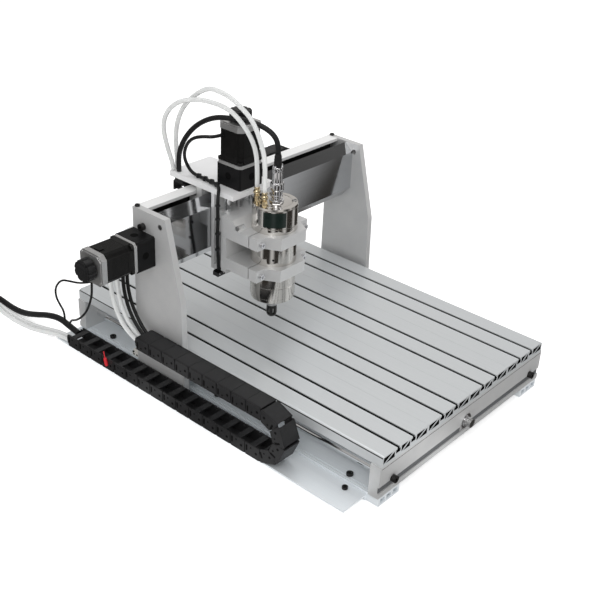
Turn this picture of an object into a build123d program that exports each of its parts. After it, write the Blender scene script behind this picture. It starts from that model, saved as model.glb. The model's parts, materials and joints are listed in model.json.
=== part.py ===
from build123d import *
import math
import os

os.makedirs("parts", exist_ok=True)

# ---------------------------------------------------------------------------
# A desktop CNC router: a fixed T-slot bed, a gantry that travels along it,
# a carriage that travels across the gantry, and a water-cooled spindle that
# moves up and down. Millimetres. X runs across the bed, Y from front to back,
# Z up from the floor. Until a piece is kept, x = 0 is the bed's centre line
# and y = 0 is its front edge.
# ---------------------------------------------------------------------------

# Bed and base frame
bed_width = 480
bed_length = 740
bed_top = 97
panel_count = 4
panel_thickness = 20
panel_seam = 0.2
slot_pitch = 40
slot_throat = 6
slot_lip = 4
slot_pocket_width = 12
slot_pocket_depth = 7
panel_wall = 2.5
bed_edge_radius = 5
beam_thickness = 20
beam_overhang = 3
rail_width = 54
rail_height = 17
rail_wall = 4
end_groove_height = 12
end_groove_depth = 3

# Y guides and drive
y_shaft_inset = 32
bolt_head = 8
y_shaft_z = 41
shaft_r = 8
y_screw_z = 43
screw_r = 8
bearing_r = 14
running_gap = 0.05
slack = 0.5

# Gantry
plate_gap = 10
plate_thickness = 12
plate_front = 420
plate_back = 543
plate_knee_z = 197
plate_knee_in = 5
plate_top_in = 42
plate_top = 344
plate_bottom = 21
cross_plate_z = 61
cross_plate_thickness = 10
cross_plate_margin = 10
block_width = 32
block_bottom = 23.5
back_wall = 8
beam_bottom = 226
flange_top = 6
flange_bottom = 3
flange_depth = 25
cover_front = 477
cover_thickness = 3
cover_lip = 20
cover_face_bottom = 250
cover_face_top = 326
x_axis_y = 516
x_axis_z = 277
x_shaft_z = (246, 315)

# Carriage, Z slide and spindle
spindle_x = -92
spindle_y = 372
spindle_r = 40
spindle_bottom = 177
spindle_top = 358
carriage_width = 100
top_plate_z = 354
top_plate_thickness = 10
top_plate_front = 424
top_plate_back = 582
hanger_front = 468.5
hanger_thickness = 7.5
bottom_plate_z = 209
bottom_plate_front = 440
z_axis_y = 457
z_shaft_x = 30
z_shaft_y = 456
z_shaft_r = 6
z_screw_r = 6
z_block_height = 40
z_block_bottom = 281
clamp_half_width = 63
slide_plate_back = 438
slide_plate_thickness = 12
slide_plate_bottom = 222
slide_plate_top = 327
clamp_heights = (229, 289)
clamp_thickness = 22
clamp_split = 1
clamp_shoulder_front = 352
clamp_hub_front = 326
clamp_bolt_x = 54

# Stepper motors: housing, flange, body, end cap and hand knob
motor_side = 57
housing_wall = 5
housing_length = 39
motor_flange = 6
motor_body = 57
motor_cap = 12
knob_r = 20
knob_length = 20
motor_shaft_r = 4
coupling_r = 9.5

# Drag chains
y_chain_pitch = 33.5
y_chain_width = 37
y_chain_height = 24
y_chain_radius = 41
y_chain_wall = 2.5
y_chain_gap = 2.5
y_chain_links = (9, 15)
y_bend_y = 199
tray_top = 13
tray_thickness = 3
tray_inset = 3.5
tray_front = 24
x_chain_pitch = 20.5
x_chain_width = 30
x_chain_height = 18
x_chain_radius = 26
x_chain_wall = 2
x_chain_links = (13, 16)
x_bend_x = 128
x_chain_y = 563
x_ledge_z = 271
x_ledge_thickness = 4

# ---------------------------------------------------------------------------
# Values worked out from the sizes above
# ---------------------------------------------------------------------------
panel_width = bed_width / panel_count
bed_bottom = bed_top - panel_thickness
y_shaft_x = bed_width / 2 - y_shaft_inset
beam_height = bed_bottom - rail_height
end_beam_width = bed_width + 2 * beam_overhang
plate_inner = bed_width / 2 + plate_gap
plate_outer = plate_inner + plate_thickness
motor_half = motor_side / 2
motor_reach = housing_length + motor_flange + motor_body + motor_cap + knob_length
gantry_mid_y = (plate_front + plate_back) / 2
slot_top_y = plate_back - flange_depth
carriage_left = spindle_x - carriage_width / 2
carriage_right = spindle_x + carriage_width / 2
y_chain_right = -(plate_outer + y_chain_gap)
y_chain_left = y_chain_right - y_chain_width
y_chain_x = (y_chain_left + y_chain_right) / 2
tray_left = y_chain_left + tray_inset
y_chain_low_z = tray_top + 0.3 + y_chain_height / 2
x_chain_low_z = x_ledge_z + x_ledge_thickness + 0.3 + x_chain_height / 2

# The origin: the middle of the machine's outline on the floor. The X motor's
# knob is the leftmost point, the bolt head on the right gantry plate the
# rightmost, the front
# screw end the foremost and the Y motor's knob the rearmost.
screw_nose = 12
left_end = -(plate_outer + motor_reach)
right_end = plate_outer + bolt_head
front_end = -screw_nose
rear_end = bed_length + motor_reach
to_origin = Location((-(left_end + right_end) / 2, -(front_end + rear_end) / 2, 0))
made = []


def keep(builder, name):
    """Moves a finished piece to the machine's origin, labels it and writes its file."""
    builder.part = builder.part.moved(to_origin)
    builder.part.label = name
    made.append(name)
    export_step(builder.part, f"parts/{name}.step")


def box_between(x, y, z, mode=Mode.ADD):
    """Adds a box between two values on each axis."""
    centre = ((x[0] + x[1]) / 2, (y[0] + y[1]) / 2, (z[0] + z[1]) / 2)
    with Locations(centre):
        Box(x[1] - x[0], y[1] - y[0], z[1] - z[0], mode=mode)


def axis_plane(origin, direction):
    """A plane whose Z axis points along a shaft or a screw."""
    side = (1, 0, 0) if abs(direction[0]) < 0.5 else (0, 1, 0)
    return Plane(origin=origin, x_dir=side, z_dir=direction)


def rod(origin, direction, radius, length, mode=Mode.ADD, start=0):
    """A round bar, or its hole, from a point along a direction."""
    with BuildSketch(axis_plane(origin, direction).offset(start)) as profile:
        Circle(radius)
    extrude(profile.sketch, amount=length, mode=mode)


def round_ring(origin, direction, outer, inner, length, start=0):
    """A sleeve along a direction."""
    with BuildSketch(axis_plane(origin, direction).offset(start)) as profile:
        Circle(outer)
        Circle(inner, mode=Mode.SUBTRACT)
    extrude(profile.sketch, amount=length)


def cap_screw(origin, direction, head_r, head_height, shank_r, shank_length):
    """A socket head screw: its head stands out along the direction."""
    with BuildSketch(axis_plane(origin, direction)) as head:
        Circle(head_r)
    extrude(head.sketch, amount=head_height)
    with BuildSketch(axis_plane(origin, direction).offset(head_height)) as socket:
        RegularPolygon(head_r * 0.5, 6)
    extrude(socket.sketch, amount=-head_height / 2, mode=Mode.SUBTRACT)
    with BuildSketch(axis_plane(origin, direction)) as shank:
        Circle(shank_r)
    extrude(shank.sketch, amount=-shank_length)


# ---------------------------------------------------------------------------
# Base: bed, end beams, foot rails, guides
# ---------------------------------------------------------------------------
def cavity(left, right):
    """Two triangular channels side by side with a slanted web between them."""
    low = bed_bottom + 2 * panel_wall
    high = bed_top - panel_wall
    web = panel_wall
    upper = ((left, low), (left, high), (right - web - 2, high))
    lower = ((right, high - 1), (right, low), (left + web + 2, low))
    for corners in (upper, lower):
        Polygon(*corners, align=None, mode=Mode.SUBTRACT)


with BuildPart() as bed_panels:
    for index in range(panel_count):
        middle = (index - (panel_count - 1) / 2) * panel_width
        half = (panel_width - panel_seam) / 2
        with BuildSketch(Plane.XZ):
            with Locations((middle, bed_top - panel_thickness / 2)):
                Rectangle(2 * half, panel_thickness)
            pocket_top = bed_top - slot_lip
            pocket_bottom = pocket_top - slot_pocket_depth
            for side in (-1, 1):
                with Locations((middle + side * slot_pitch / 2, (pocket_top + bed_top) / 2)):
                    Rectangle(slot_throat, slot_lip, mode=Mode.SUBTRACT)
                with Locations((middle + side * slot_pitch / 2, (pocket_top + pocket_bottom) / 2)):
                    Rectangle(slot_pocket_width, slot_pocket_depth, mode=Mode.SUBTRACT)
            wall_x = slot_pitch / 2 - slot_pocket_width / 2 - panel_wall
            outer_x = slot_pitch / 2 + slot_pocket_width / 2 + panel_wall
            cavity(middle - wall_x, middle + wall_x)
            cavity(middle + outer_x, middle + half - panel_wall)
            cavity(middle - half + panel_wall, middle - outer_x)
        extrude(amount=-bed_length)
    outer_edges = bed_panels.edges().filter_by(Axis.Y).filter_by_position(Axis.Z, bed_top - 0.1, bed_top + 0.1)
    outer_edges = outer_edges.sort_by(Axis.X)
    fillet([outer_edges[0], outer_edges[-1]], radius=bed_edge_radius)
keep(bed_panels, "bed_panels")

beam_faces = ((0, -1), (bed_length - beam_thickness, 1))
with BuildPart() as end_beams:
    for start_y, facing in beam_faces:
        box_between(
            (-end_beam_width / 2, end_beam_width / 2),
            (start_y, start_y + beam_thickness),
            (rail_height, bed_bottom),
        )
        face_y = start_y if facing < 0 else start_y + beam_thickness
        groove = sorted((face_y, face_y - facing * end_groove_depth))
        groove_top = rail_height + 10 + end_groove_height
        box_between(
            (-end_beam_width / 2, end_beam_width / 2),
            groove,
            (rail_height + 10, groove_top),
            mode=Mode.SUBTRACT,
        )
        rod((0, start_y, y_screw_z), (0, 1, 0), bearing_r, beam_thickness, mode=Mode.SUBTRACT)
        for side in (-1, 1):
            bolt_at = (side * y_shaft_x, start_y, y_shaft_z)
            rod(bolt_at, (0, 1, 0), 4 + slack / 2, beam_thickness, mode=Mode.SUBTRACT)
keep(end_beams, "end_beams")

rail_screws = (
    (14 - bed_width / 2, 70),
    (20 - bed_width / 2, 379),
    (14 - bed_width / 2, bed_length - 80),
)
with BuildPart() as foot_rails:
    for side in (-1, 1):
        outside = side * bed_width / 2
        inside = side * (bed_width / 2 - rail_width)
        across = sorted((outside, inside))
        box_between(across, (0, bed_length), (0, rail_height))
        chamber = (rail_width - 4 * rail_wall) / 3
        for index in range(3):
            left = across[0] + rail_wall + index * (chamber + rail_wall)
            box_between(
                (left, left + chamber),
                (0, bed_length),
                (rail_wall, rail_height - rail_wall),
                mode=Mode.SUBTRACT,
            )
        for step in (3, 9):
            groove_x = outside - side * step
            box_between(
                (groove_x - 1, groove_x + 1),
                (0, bed_length),
                (rail_height - 1, rail_height),
                mode=Mode.SUBTRACT,
            )
    for screw_x, screw_y in rail_screws:
        rod((screw_x, screw_y, rail_height), (0, 0, -1), 3, rail_wall, mode=Mode.SUBTRACT)
keep(foot_rails, "foot_rails")

tray_right = -(bed_width / 2 + 0.5)
tray_screws = ((tray_right - 13.5, 57), (tray_right - 13.5, bed_length - 80))
with BuildPart() as cable_tray:
    box_between((tray_left, tray_right), (tray_front, bed_length), (tray_top - tray_thickness, tray_top))
    box_between((tray_right - tray_thickness, tray_right), (tray_front, bed_length), (2, tray_top))
    for screw_x, screw_y in tray_screws:
        rod((screw_x, screw_y, tray_top), (0, 0, -1), 2.5, tray_thickness, mode=Mode.SUBTRACT)
keep(cable_tray, "cable_tray")

with BuildPart() as base_screws:
    for start_y, facing in beam_faces:
        face_y = start_y if facing < 0 else start_y + beam_thickness
        for side in (-1, 1):
            cap_screw((side * y_shaft_x, face_y, y_shaft_z), (0, facing, 0), 6.5, bolt_head, 4, beam_thickness + 12)
    for screw_x, screw_y in rail_screws:
        cap_screw((screw_x, screw_y, rail_height), (0, 0, 1), 6, 4, 3, rail_wall)
    for screw_x, screw_y in tray_screws:
        cap_screw((screw_x, screw_y, tray_top), (0, 0, 1), 5, 4, 2.5, tray_thickness + 3)
keep(base_screws, "base_screws")

y_shaft_length = bed_length - 2 * beam_thickness
with BuildPart() as y_guide_shafts:
    for side in (-1, 1):
        rod((side * y_shaft_x, beam_thickness, y_shaft_z), (0, 1, 0), shaft_r, y_shaft_length)
        for start_y in (beam_thickness, bed_length - beam_thickness - 12):
            rod((side * y_shaft_x, start_y, y_shaft_z), (0, 1, 0), 4, 12, mode=Mode.SUBTRACT)
keep(y_guide_shafts, "y_guide_shafts")

with BuildPart() as y_screw_bearings:
    for start_y, facing in beam_faces:
        middle_y = (0, start_y, y_screw_z)
        round_ring(middle_y, (0, 1, 0), bearing_r, screw_r + running_gap, beam_thickness)
keep(y_screw_bearings, "y_screw_bearings")


# ---------------------------------------------------------------------------
# Motors and screws
# ---------------------------------------------------------------------------
def square_stage(plane, start, length, side, corner, hole_r=0.0):
    """One square stage of a motor along its shaft."""
    with BuildSketch(plane.offset(start)) as profile:
        RectangleRounded(side, side, corner)
        if hole_r:
            Circle(hole_r, mode=Mode.SUBTRACT)
    extrude(profile.sketch, amount=length)


def motor_housing(plane):
    """The hollow square housing that holds the coupling."""
    square_stage(plane, 0, housing_length, motor_side, 3)
    with BuildSketch(plane) as hollow:
        RectangleRounded(motor_side - 2 * housing_wall, motor_side - 2 * housing_wall, 2)
    extrude(hollow.sketch, amount=housing_length, mode=Mode.SUBTRACT)


def motor(plane):
    """Front flange, laminated body and rear cap, bored for the motor's shaft."""
    bore = motor_shaft_r + running_gap
    square_stage(plane, housing_length, motor_flange, motor_side, 3, bore)
    square_stage(plane, housing_length + motor_flange, motor_body, motor_side - 1, 6, bore)
    square_stage(plane, housing_length + motor_flange + motor_body, motor_cap, motor_side, 3, bore)


def drive_screw(plane, radius, back, into_housing=10):
    """A ball screw with its shaft coupling and the motor's own shaft in line."""
    stages = (
        (-back, radius, back + into_housing),
        (into_housing, coupling_r, housing_length - into_housing - 3),
        (housing_length - 3, motor_shaft_r, 3 + motor_flange + motor_body + motor_cap),
    )
    for start, stage_r, length in stages:
        with BuildSketch(plane.offset(start)) as profile:
            Circle(stage_r)
        extrude(profile.sketch, amount=length)


def hand_knob(plane):
    """A round knob with finger flutes on the motor's rear shaft."""
    start = motor_reach - knob_length
    with BuildSketch(plane.offset(start)) as profile:
        Circle(knob_r)
        with PolarLocations(knob_r + 4, 6):
            Circle(7, mode=Mode.SUBTRACT)
    extrude(profile.sketch, amount=knob_length)


y_plane = axis_plane((0, bed_length, y_screw_z), (0, 1, 0))
x_plane = axis_plane((-plate_outer, x_axis_y, x_axis_z), (-1, 0, 0))
z_plane = axis_plane((spindle_x, z_axis_y, top_plate_z + top_plate_thickness), (0, 0, 1))
screw_tail = 10
drives = (
    ("y", y_plane, screw_r, bed_length + screw_nose),
    ("x", x_plane, screw_r, 2 * plate_outer),
    ("z", z_plane, z_screw_r, top_plate_z + top_plate_thickness - bottom_plate_z),
)
for axis, plane, radius, back in drives:
    with BuildPart() as housing:
        motor_housing(plane)
    keep(housing, f"{axis}_motor_housing")
    with BuildPart() as stepper:
        motor(plane)
    keep(stepper, f"{axis}_motor")
    with BuildPart() as screw:
        drive_screw(plane, radius, back)
    keep(screw, f"{axis}_screw")
    with BuildPart() as knob:
        hand_knob(plane)
    keep(knob, f"{axis}_knob")

# ---------------------------------------------------------------------------
# Wiring blocks on the left foot rail
# ---------------------------------------------------------------------------
terminal_left = -bed_width / 2 + 0.5
with BuildPart() as terminal_blocks:
    for index in range(3):
        start_y = 455 + index * 45
        box_between((terminal_left, terminal_left + 11), (start_y, start_y + 42), (rail_height, rail_height + 13))
keep(terminal_blocks, "terminal_blocks")


# ---------------------------------------------------------------------------
# Gantry
# ---------------------------------------------------------------------------
def gantry_plate(side):
    """A side plate: upright back edge, front edge that leans back above the knee."""
    outline = (
        (plate_front, plate_bottom),
        (plate_front + plate_knee_in, plate_knee_z),
        (plate_front + plate_top_in, plate_top),
        (plate_back, plate_top),
        (plate_back, plate_bottom),
    )
    with BuildSketch(Plane.YZ.offset(side * plate_inner)) as profile:
        Polygon(*outline, align=None)
        with Locations((x_axis_y, x_axis_z)):
            Circle(bearing_r, mode=Mode.SUBTRACT)
        with Locations((x_axis_y, x_shaft_z[1])):
            Circle(4 + slack / 2, mode=Mode.SUBTRACT)
        with Locations((plate_front + 54, plate_top - 17)):
            Circle(5, mode=Mode.SUBTRACT)
    extrude(profile.sketch, amount=side * plate_thickness)


for side, name in ((-1, "left_gantry_plate"), (1, "right_gantry_plate")):
    with BuildPart() as gantry_side:
        gantry_plate(side)
        top_hole = (side * (plate_inner + plate_thickness / 2), plate_back - 6, plate_top)
        rod(top_hole, (0, 0, -1), 2.5, 16, mode=Mode.SUBTRACT)
    keep(gantry_side, name)

ledge_x = (x_bend_x - x_chain_links[1] * x_chain_pitch - 10, plate_inner - 10)
with BuildPart() as gantry_beam:
    with BuildSketch(Plane.YZ.offset(-plate_inner)):
        with BuildLine():
            Polyline(
                (slot_top_y, plate_top),
                (plate_back, plate_top),
                (plate_back, beam_bottom),
                (slot_top_y, beam_bottom),
                (slot_top_y, beam_bottom + flange_bottom),
                (plate_back - back_wall, beam_bottom + flange_bottom),
                (plate_back - back_wall, plate_top - flange_top),
                (slot_top_y, plate_top - flange_top),
                close=True,
            )
        make_face()
    extrude(amount=2 * plate_inner)
    box_between(ledge_x, (plate_back, plate_back + 38), (x_ledge_z, x_ledge_z + x_ledge_thickness))
keep(gantry_beam, "gantry_beam")

cover_back = cover_front + cover_lip
with BuildPart() as beam_cover:
    with BuildSketch(Plane.YZ.offset(-plate_inner)):
        with BuildLine():
            Polyline(
                (cover_back, plate_top - 2),
                (cover_front, cover_face_top),
                (cover_front, cover_face_bottom),
                (cover_back, beam_bottom + 2),
                (cover_back, beam_bottom + 2 + 1.5 * cover_thickness),
                (cover_front + cover_thickness, cover_face_bottom + 1),
                (cover_front + cover_thickness, cover_face_top - 1),
                (cover_back, plate_top - 2 - 1.5 * cover_thickness),
                close=True,
            )
        make_face()
    extrude(amount=2 * plate_inner)
keep(beam_cover, "beam_cover")

with BuildPart() as x_guide_shafts:
    for shaft_z in x_shaft_z:
        rod((-plate_inner, x_axis_y, shaft_z), (1, 0, 0), shaft_r, 2 * plate_inner)
    for side in (-1, 1):
        end = (side * plate_inner, x_axis_y, x_shaft_z[1])
        rod(end, (-side, 0, 0), 4, 12, mode=Mode.SUBTRACT)
keep(x_guide_shafts, "x_guide_shafts")

with BuildPart() as x_screw_bearings:
    for start_x in (-plate_outer, plate_inner):
        round_ring((start_x, x_axis_y, x_axis_z), (1, 0, 0), bearing_r, screw_r + running_gap, plate_thickness)
keep(x_screw_bearings, "x_screw_bearings")

cross_y = (plate_front + cross_plate_margin, plate_back - cross_plate_margin)
with BuildPart() as cross_plate:
    box_between(
        (-plate_inner, plate_inner),
        cross_y,
        (cross_plate_z, cross_plate_z + cross_plate_thickness),
    )
keep(cross_plate, "cross_plate")

with BuildPart() as y_bearing_blocks:
    for side in (-1, 1):
        centre_x = side * y_shaft_x
        box_between(
            (centre_x - block_width / 2, centre_x + block_width / 2),
            cross_y,
            (block_bottom, cross_plate_z),
        )
        bore_at = (centre_x, cross_y[0], y_shaft_z)
        rod(bore_at, (0, 1, 0), shaft_r + running_gap, cross_y[1] - cross_y[0], mode=Mode.SUBTRACT)
keep(y_bearing_blocks, "y_bearing_blocks")

with BuildPart() as y_ball_nut:
    nut_y = (gantry_mid_y - 20, gantry_mid_y + 20)
    box_between((-22, 22), nut_y, (y_screw_z - 18, cross_plate_z))
    rod((0, nut_y[0], y_screw_z), (0, 1, 0), screw_r + running_gap, 40, mode=Mode.SUBTRACT)
keep(y_ball_nut, "y_ball_nut")

with BuildPart() as gantry_screws:
    for side in (-1, 1):
        top_hole = (side * (plate_inner + plate_thickness / 2), plate_back - 6, plate_top)
        cap_screw(top_hole, (0, 0, 1), 4.5, 3, 2.5, 15)
        end = (side * plate_outer, x_axis_y, x_shaft_z[1])
        cap_screw(end, (side, 0, 0), 6.5, bolt_head, 4, plate_thickness + 12)
keep(gantry_screws, "gantry_screws")

# ---------------------------------------------------------------------------
# X carriage
# ---------------------------------------------------------------------------
carriage_x = (carriage_left, carriage_right)
neck_y = (500, 513)
block_y = (500, plate_back - back_wall - 4)
block_z = (beam_bottom + 9, plate_top - 10)
with BuildPart() as x_bearing_block:
    box_between(carriage_x, block_y, block_z)
    box_between(carriage_x, neck_y, (block_z[1], top_plate_z))
    for shaft_z in x_shaft_z:
        bore_at = (carriage_left, x_axis_y, shaft_z)
        rod(bore_at, (1, 0, 0), shaft_r + running_gap, carriage_width, mode=Mode.SUBTRACT)
    rod((carriage_left, x_axis_y, x_axis_z), (1, 0, 0), 12.5, carriage_width, mode=Mode.SUBTRACT)
keep(x_bearing_block, "x_bearing_block")

with BuildPart() as x_ball_nut:
    nut_at = (carriage_left, x_axis_y, x_axis_z)
    round_ring(nut_at, (1, 0, 0), 12.5, screw_r + running_gap, 40)
    round_ring(nut_at, (-1, 0, 0), 14.5, screw_r + running_gap, 8)
keep(x_ball_nut, "x_ball_nut")

hanger_back = hanger_front + hanger_thickness
with BuildPart() as x_carriage_plate:
    box_between(carriage_x, (hanger_front, hanger_back), (bottom_plate_z, top_plate_z))
keep(x_carriage_plate, "x_carriage_plate")

z_bearing_r = 11
with BuildPart() as z_top_plate:
    box_between(
        carriage_x,
        (top_plate_front, top_plate_back),
        (top_plate_z, top_plate_z + top_plate_thickness),
    )
    rod((spindle_x, z_axis_y, top_plate_z), (0, 0, 1), z_screw_r + running_gap, top_plate_thickness, mode=Mode.SUBTRACT)
keep(z_top_plate, "z_top_plate")

bottom_thickness = 10
with BuildPart() as z_bottom_plate:
    box_between(
        carriage_x,
        (bottom_plate_front, hanger_front),
        (bottom_plate_z, bottom_plate_z + bottom_thickness),
    )
    bore_at = (spindle_x, z_axis_y, bottom_plate_z)
    rod(bore_at, (0, 0, 1), z_screw_r + running_gap, bottom_thickness, mode=Mode.SUBTRACT)
keep(z_bottom_plate, "z_bottom_plate")

with BuildPart() as z_guide_shafts:
    for side in (-1, 1):
        foot = (spindle_x + side * z_shaft_x, z_shaft_y, bottom_plate_z + bottom_thickness)
        rod(foot, (0, 0, 1), z_shaft_r, top_plate_z - foot[2])
keep(z_guide_shafts, "z_guide_shafts")

with BuildPart() as z_limit_switch:
    box_between(
        (carriage_left - 18, carriage_left),
        (bottom_plate_front, bottom_plate_front + 14),
        (bottom_plate_z, bottom_plate_z + bottom_thickness),
    )
keep(z_limit_switch, "z_limit_switch")

# ---------------------------------------------------------------------------
# Z slide, clamp and spindle
# ---------------------------------------------------------------------------
slide_x = (spindle_x - clamp_half_width, spindle_x + clamp_half_width)
slide_plate_front = slide_plate_back - slide_plate_thickness
split_y = spindle_y + clamp_split
with BuildPart() as z_slide_plate:
    box_between(slide_x, (slide_plate_front, slide_plate_back), (slide_plate_bottom, slide_plate_top))
    for arm_z in clamp_heights:
        box_between(slide_x, (split_y, slide_plate_front), (arm_z, arm_z + clamp_thickness))
    arm_top = clamp_heights[1] + clamp_thickness
    with BuildSketch(Plane.YZ.offset(slide_x[0])):
        with BuildLine():
            Polyline(
                (slide_plate_front, arm_top),
                (slide_plate_front, slide_plate_top),
                (slide_plate_front - 14, slide_plate_top),
                (slide_plate_front - 30, arm_top),
                close=True,
            )
        make_face()
    extrude(amount=2 * clamp_half_width)
    rod((spindle_x, spindle_y, slide_plate_bottom - 1), (0, 0, 1), spindle_r, 110, mode=Mode.SUBTRACT)
    side_hole = (slide_x[0], split_y + 28, slide_plate_top - 12)
    rod(side_hole, (1, 0, 0), 4, 20, mode=Mode.SUBTRACT)
    for arm_z in clamp_heights:
        for side in (-1, 1):
            tapped = (spindle_x + side * clamp_bolt_x, split_y, arm_z + clamp_thickness / 2)
            rod(tapped, (0, 1, 0), 3, 18, mode=Mode.SUBTRACT)
keep(z_slide_plate, "z_slide_plate")

with BuildPart() as z_bearing_block:
    half = z_shaft_x + 10
    box_between(
        (spindle_x - half, spindle_x + half),
        (slide_plate_back, hanger_front - 1),
        (z_block_bottom, z_block_bottom + z_block_height),
    )
    for side in (-1, 1):
        foot = (spindle_x + side * z_shaft_x, z_shaft_y, z_block_bottom)
        rod(foot, (0, 0, 1), z_shaft_r + running_gap, z_block_height, mode=Mode.SUBTRACT)
    rod((spindle_x, z_axis_y, z_block_bottom), (0, 0, 1), z_screw_r + running_gap, z_block_height, mode=Mode.SUBTRACT)
keep(z_bearing_block, "z_bearing_block")

with BuildPart() as clamp_caps:
    for arm_z in clamp_heights:
        with BuildSketch(Plane.XY.offset(arm_z)):
            with BuildLine():
                Polyline(
                    (slide_x[0], spindle_y - clamp_split),
                    (slide_x[0], clamp_shoulder_front),
                    (spindle_x - 45, clamp_shoulder_front),
                    (spindle_x - 31, clamp_hub_front),
                    (spindle_x + 31, clamp_hub_front),
                    (spindle_x + 45, clamp_shoulder_front),
                    (slide_x[1], clamp_shoulder_front),
                    (slide_x[1], spindle_y - clamp_split),
                    close=True,
                )
            make_face()
            with Locations((spindle_x, spindle_y)):
                Circle(spindle_r, mode=Mode.SUBTRACT)
        extrude(amount=clamp_thickness)
        for side in (-1, 1):
            hole_at = (spindle_x + side * clamp_bolt_x, clamp_shoulder_front, arm_z + clamp_thickness / 2)
            rod(hole_at, (0, 1, 0), 3 + slack / 2, spindle_y - clamp_shoulder_front, mode=Mode.SUBTRACT)
keep(clamp_caps, "clamp_caps")

with BuildPart() as clamp_bolts:
    for arm_z in clamp_heights:
        for side in (-1, 1):
            head_at = (spindle_x + side * clamp_bolt_x, clamp_shoulder_front, arm_z + clamp_thickness / 2)
            cap_screw(head_at, (0, -1, 0), 5, 6, 3, split_y + 17 - clamp_shoulder_front)
keep(clamp_bolts, "clamp_bolts")

rotor_r = 14
with BuildPart() as spindle_body:
    rod((spindle_x, spindle_y, spindle_bottom), (0, 0, 1), spindle_r, spindle_top - spindle_bottom)
    rod((spindle_x, spindle_y, spindle_bottom), (0, 0, 1), rotor_r + 1, spindle_top - spindle_bottom - 12, mode=Mode.SUBTRACT)
keep(spindle_body, "spindle_body")

bearing_seats = (spindle_bottom, spindle_top - 12 - 22)
bearing_height = 22
shaft_mid_r = 10
with BuildPart() as spindle_bearings:
    for seat_z in bearing_seats:
        round_ring((spindle_x, spindle_y, seat_z), (0, 0, 1), rotor_r + 1, shaft_mid_r + running_gap, bearing_height)
keep(spindle_bearings, "spindle_bearings")

nut_bottom = 134
nut_height = 22
nut_r = 9.5
nut_wall = 2
collet_r = 5.5
collet_bore_r = 3.175
shaft_nose = nut_bottom + nut_height + 1
with BuildPart() as spindle_shaft:
    rod((spindle_x, spindle_y, nut_bottom + 8), (0, 0, 1), nut_r - nut_wall, shaft_nose - nut_bottom - 8)
    rod((spindle_x, spindle_y, shaft_nose), (0, 0, 1), shaft_mid_r, spindle_top - 14 - shaft_nose)
    rod((spindle_x, spindle_y, nut_bottom + 8), (0, 0, 1), collet_r, 30, mode=Mode.SUBTRACT)
keep(spindle_shaft, "spindle_shaft")

with BuildPart() as collet_nut:
    rod((spindle_x, spindle_y, nut_bottom), (0, 0, 1), nut_r, nut_height)
    rod((spindle_x, spindle_y, nut_bottom + 8), (0, 0, 1), nut_r - nut_wall, nut_height, mode=Mode.SUBTRACT)
    rod((spindle_x, spindle_y, nut_bottom), (0, 0, 1), collet_r, nut_height, mode=Mode.SUBTRACT)
    round_ring((spindle_x, spindle_y, nut_bottom - 1), (0, 0, 1), collet_r, collet_bore_r, 25)
keep(collet_nut, "collet_nut")

fitting_places = ((-14, 30), (-23, 4))
fitting_height = 20
hose_r = 4
with BuildPart() as water_fittings:
    for off_x, off_y in fitting_places:
        foot = (spindle_x + off_x, spindle_y + off_y, spindle_top)
        with BuildSketch(Plane.XY.offset(spindle_top)):
            with Locations(foot[:2]):
                RegularPolygon(5.5, 6)
        extrude(amount=8)
        rod(foot, (0, 0, 1), 3.5, 4, start=8)
        rod(foot, (0, 0, 1), 5.5, fitting_height - 12, start=12)
keep(water_fittings, "water_fittings")

connector_x = spindle_x - 1
connector_y = spindle_y - 4
connector_height = 86
with BuildPart() as cable_connector:
    foot = (connector_x, connector_y, spindle_top)
    rod(foot, (0, 0, 1), 13, 4)
    rod(foot, (0, 0, 1), 9.5, 20, start=4)
    rod(foot, (0, 0, 1), 12, 12, start=24)
    rod(foot, (0, 0, 1), 9, 24, start=36)
    rod(foot, (0, 0, 1), 7, connector_height - 60, start=60)
keep(cable_connector, "cable_connector")


# ---------------------------------------------------------------------------
# Drag chains: hollow links along a straight run or round the bend
# ---------------------------------------------------------------------------
def chain_link(plane, length, width, height, wall):
    """One hollow link centred on a plane whose X axis runs along the chain."""
    with BuildSketch(plane.offset(-height / 2)) as outside:
        Rectangle(length - 0.6, width)
    extrude(outside.sketch, amount=height)
    with BuildSketch(plane.offset(-height / 2 + wall)) as inside:
        Rectangle(length - 0.6, width - 2 * wall)
    extrude(inside.sketch, amount=height - 2 * wall, mode=Mode.SUBTRACT)


def chain_run(along, cross, start, count, pitch, width, height, wall, z):
    """A straight run of links along +X or +Y from its start."""
    for index in range(count):
        place = start + (index + 0.5) * pitch
        if along == "y":
            plane = Plane(origin=(cross, place, z), x_dir=(0, 1, 0), z_dir=(0, 0, 1))
        else:
            plane = Plane(origin=(place, cross, z), x_dir=(1, 0, 0), z_dir=(0, 0, 1))
        chain_link(plane, pitch, width, height, wall)


def chain_bend(centre, outward, across, radius, width, height, wall, count=4):
    """Links round a half circle from the lower run to the upper one."""
    step = math.pi / count
    middle_r = radius * math.cos(step / 2)
    chord = 2 * (middle_r - height / 2) * math.tan(step / 2)
    for index in range(count):
        angle = -math.pi / 2 + (index + 0.5) * step
        radial = Vector(*outward) * math.cos(angle) + Vector(0, 0, 1) * math.sin(angle)
        origin = Vector(*centre) + radial * middle_r
        tangent = Vector(*across).cross(radial)
        chain_link(Plane(origin=origin, x_dir=tangent, z_dir=radial), chord, width, height, wall)


y_chain_high_z = y_chain_low_z + 2 * y_chain_radius
with BuildPart() as y_chain_lower:
    chain_run("y", y_chain_x, y_bend_y, y_chain_links[1], y_chain_pitch, y_chain_width, y_chain_height, y_chain_wall, y_chain_low_z)
keep(y_chain_lower, "y_chain_lower")

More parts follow.
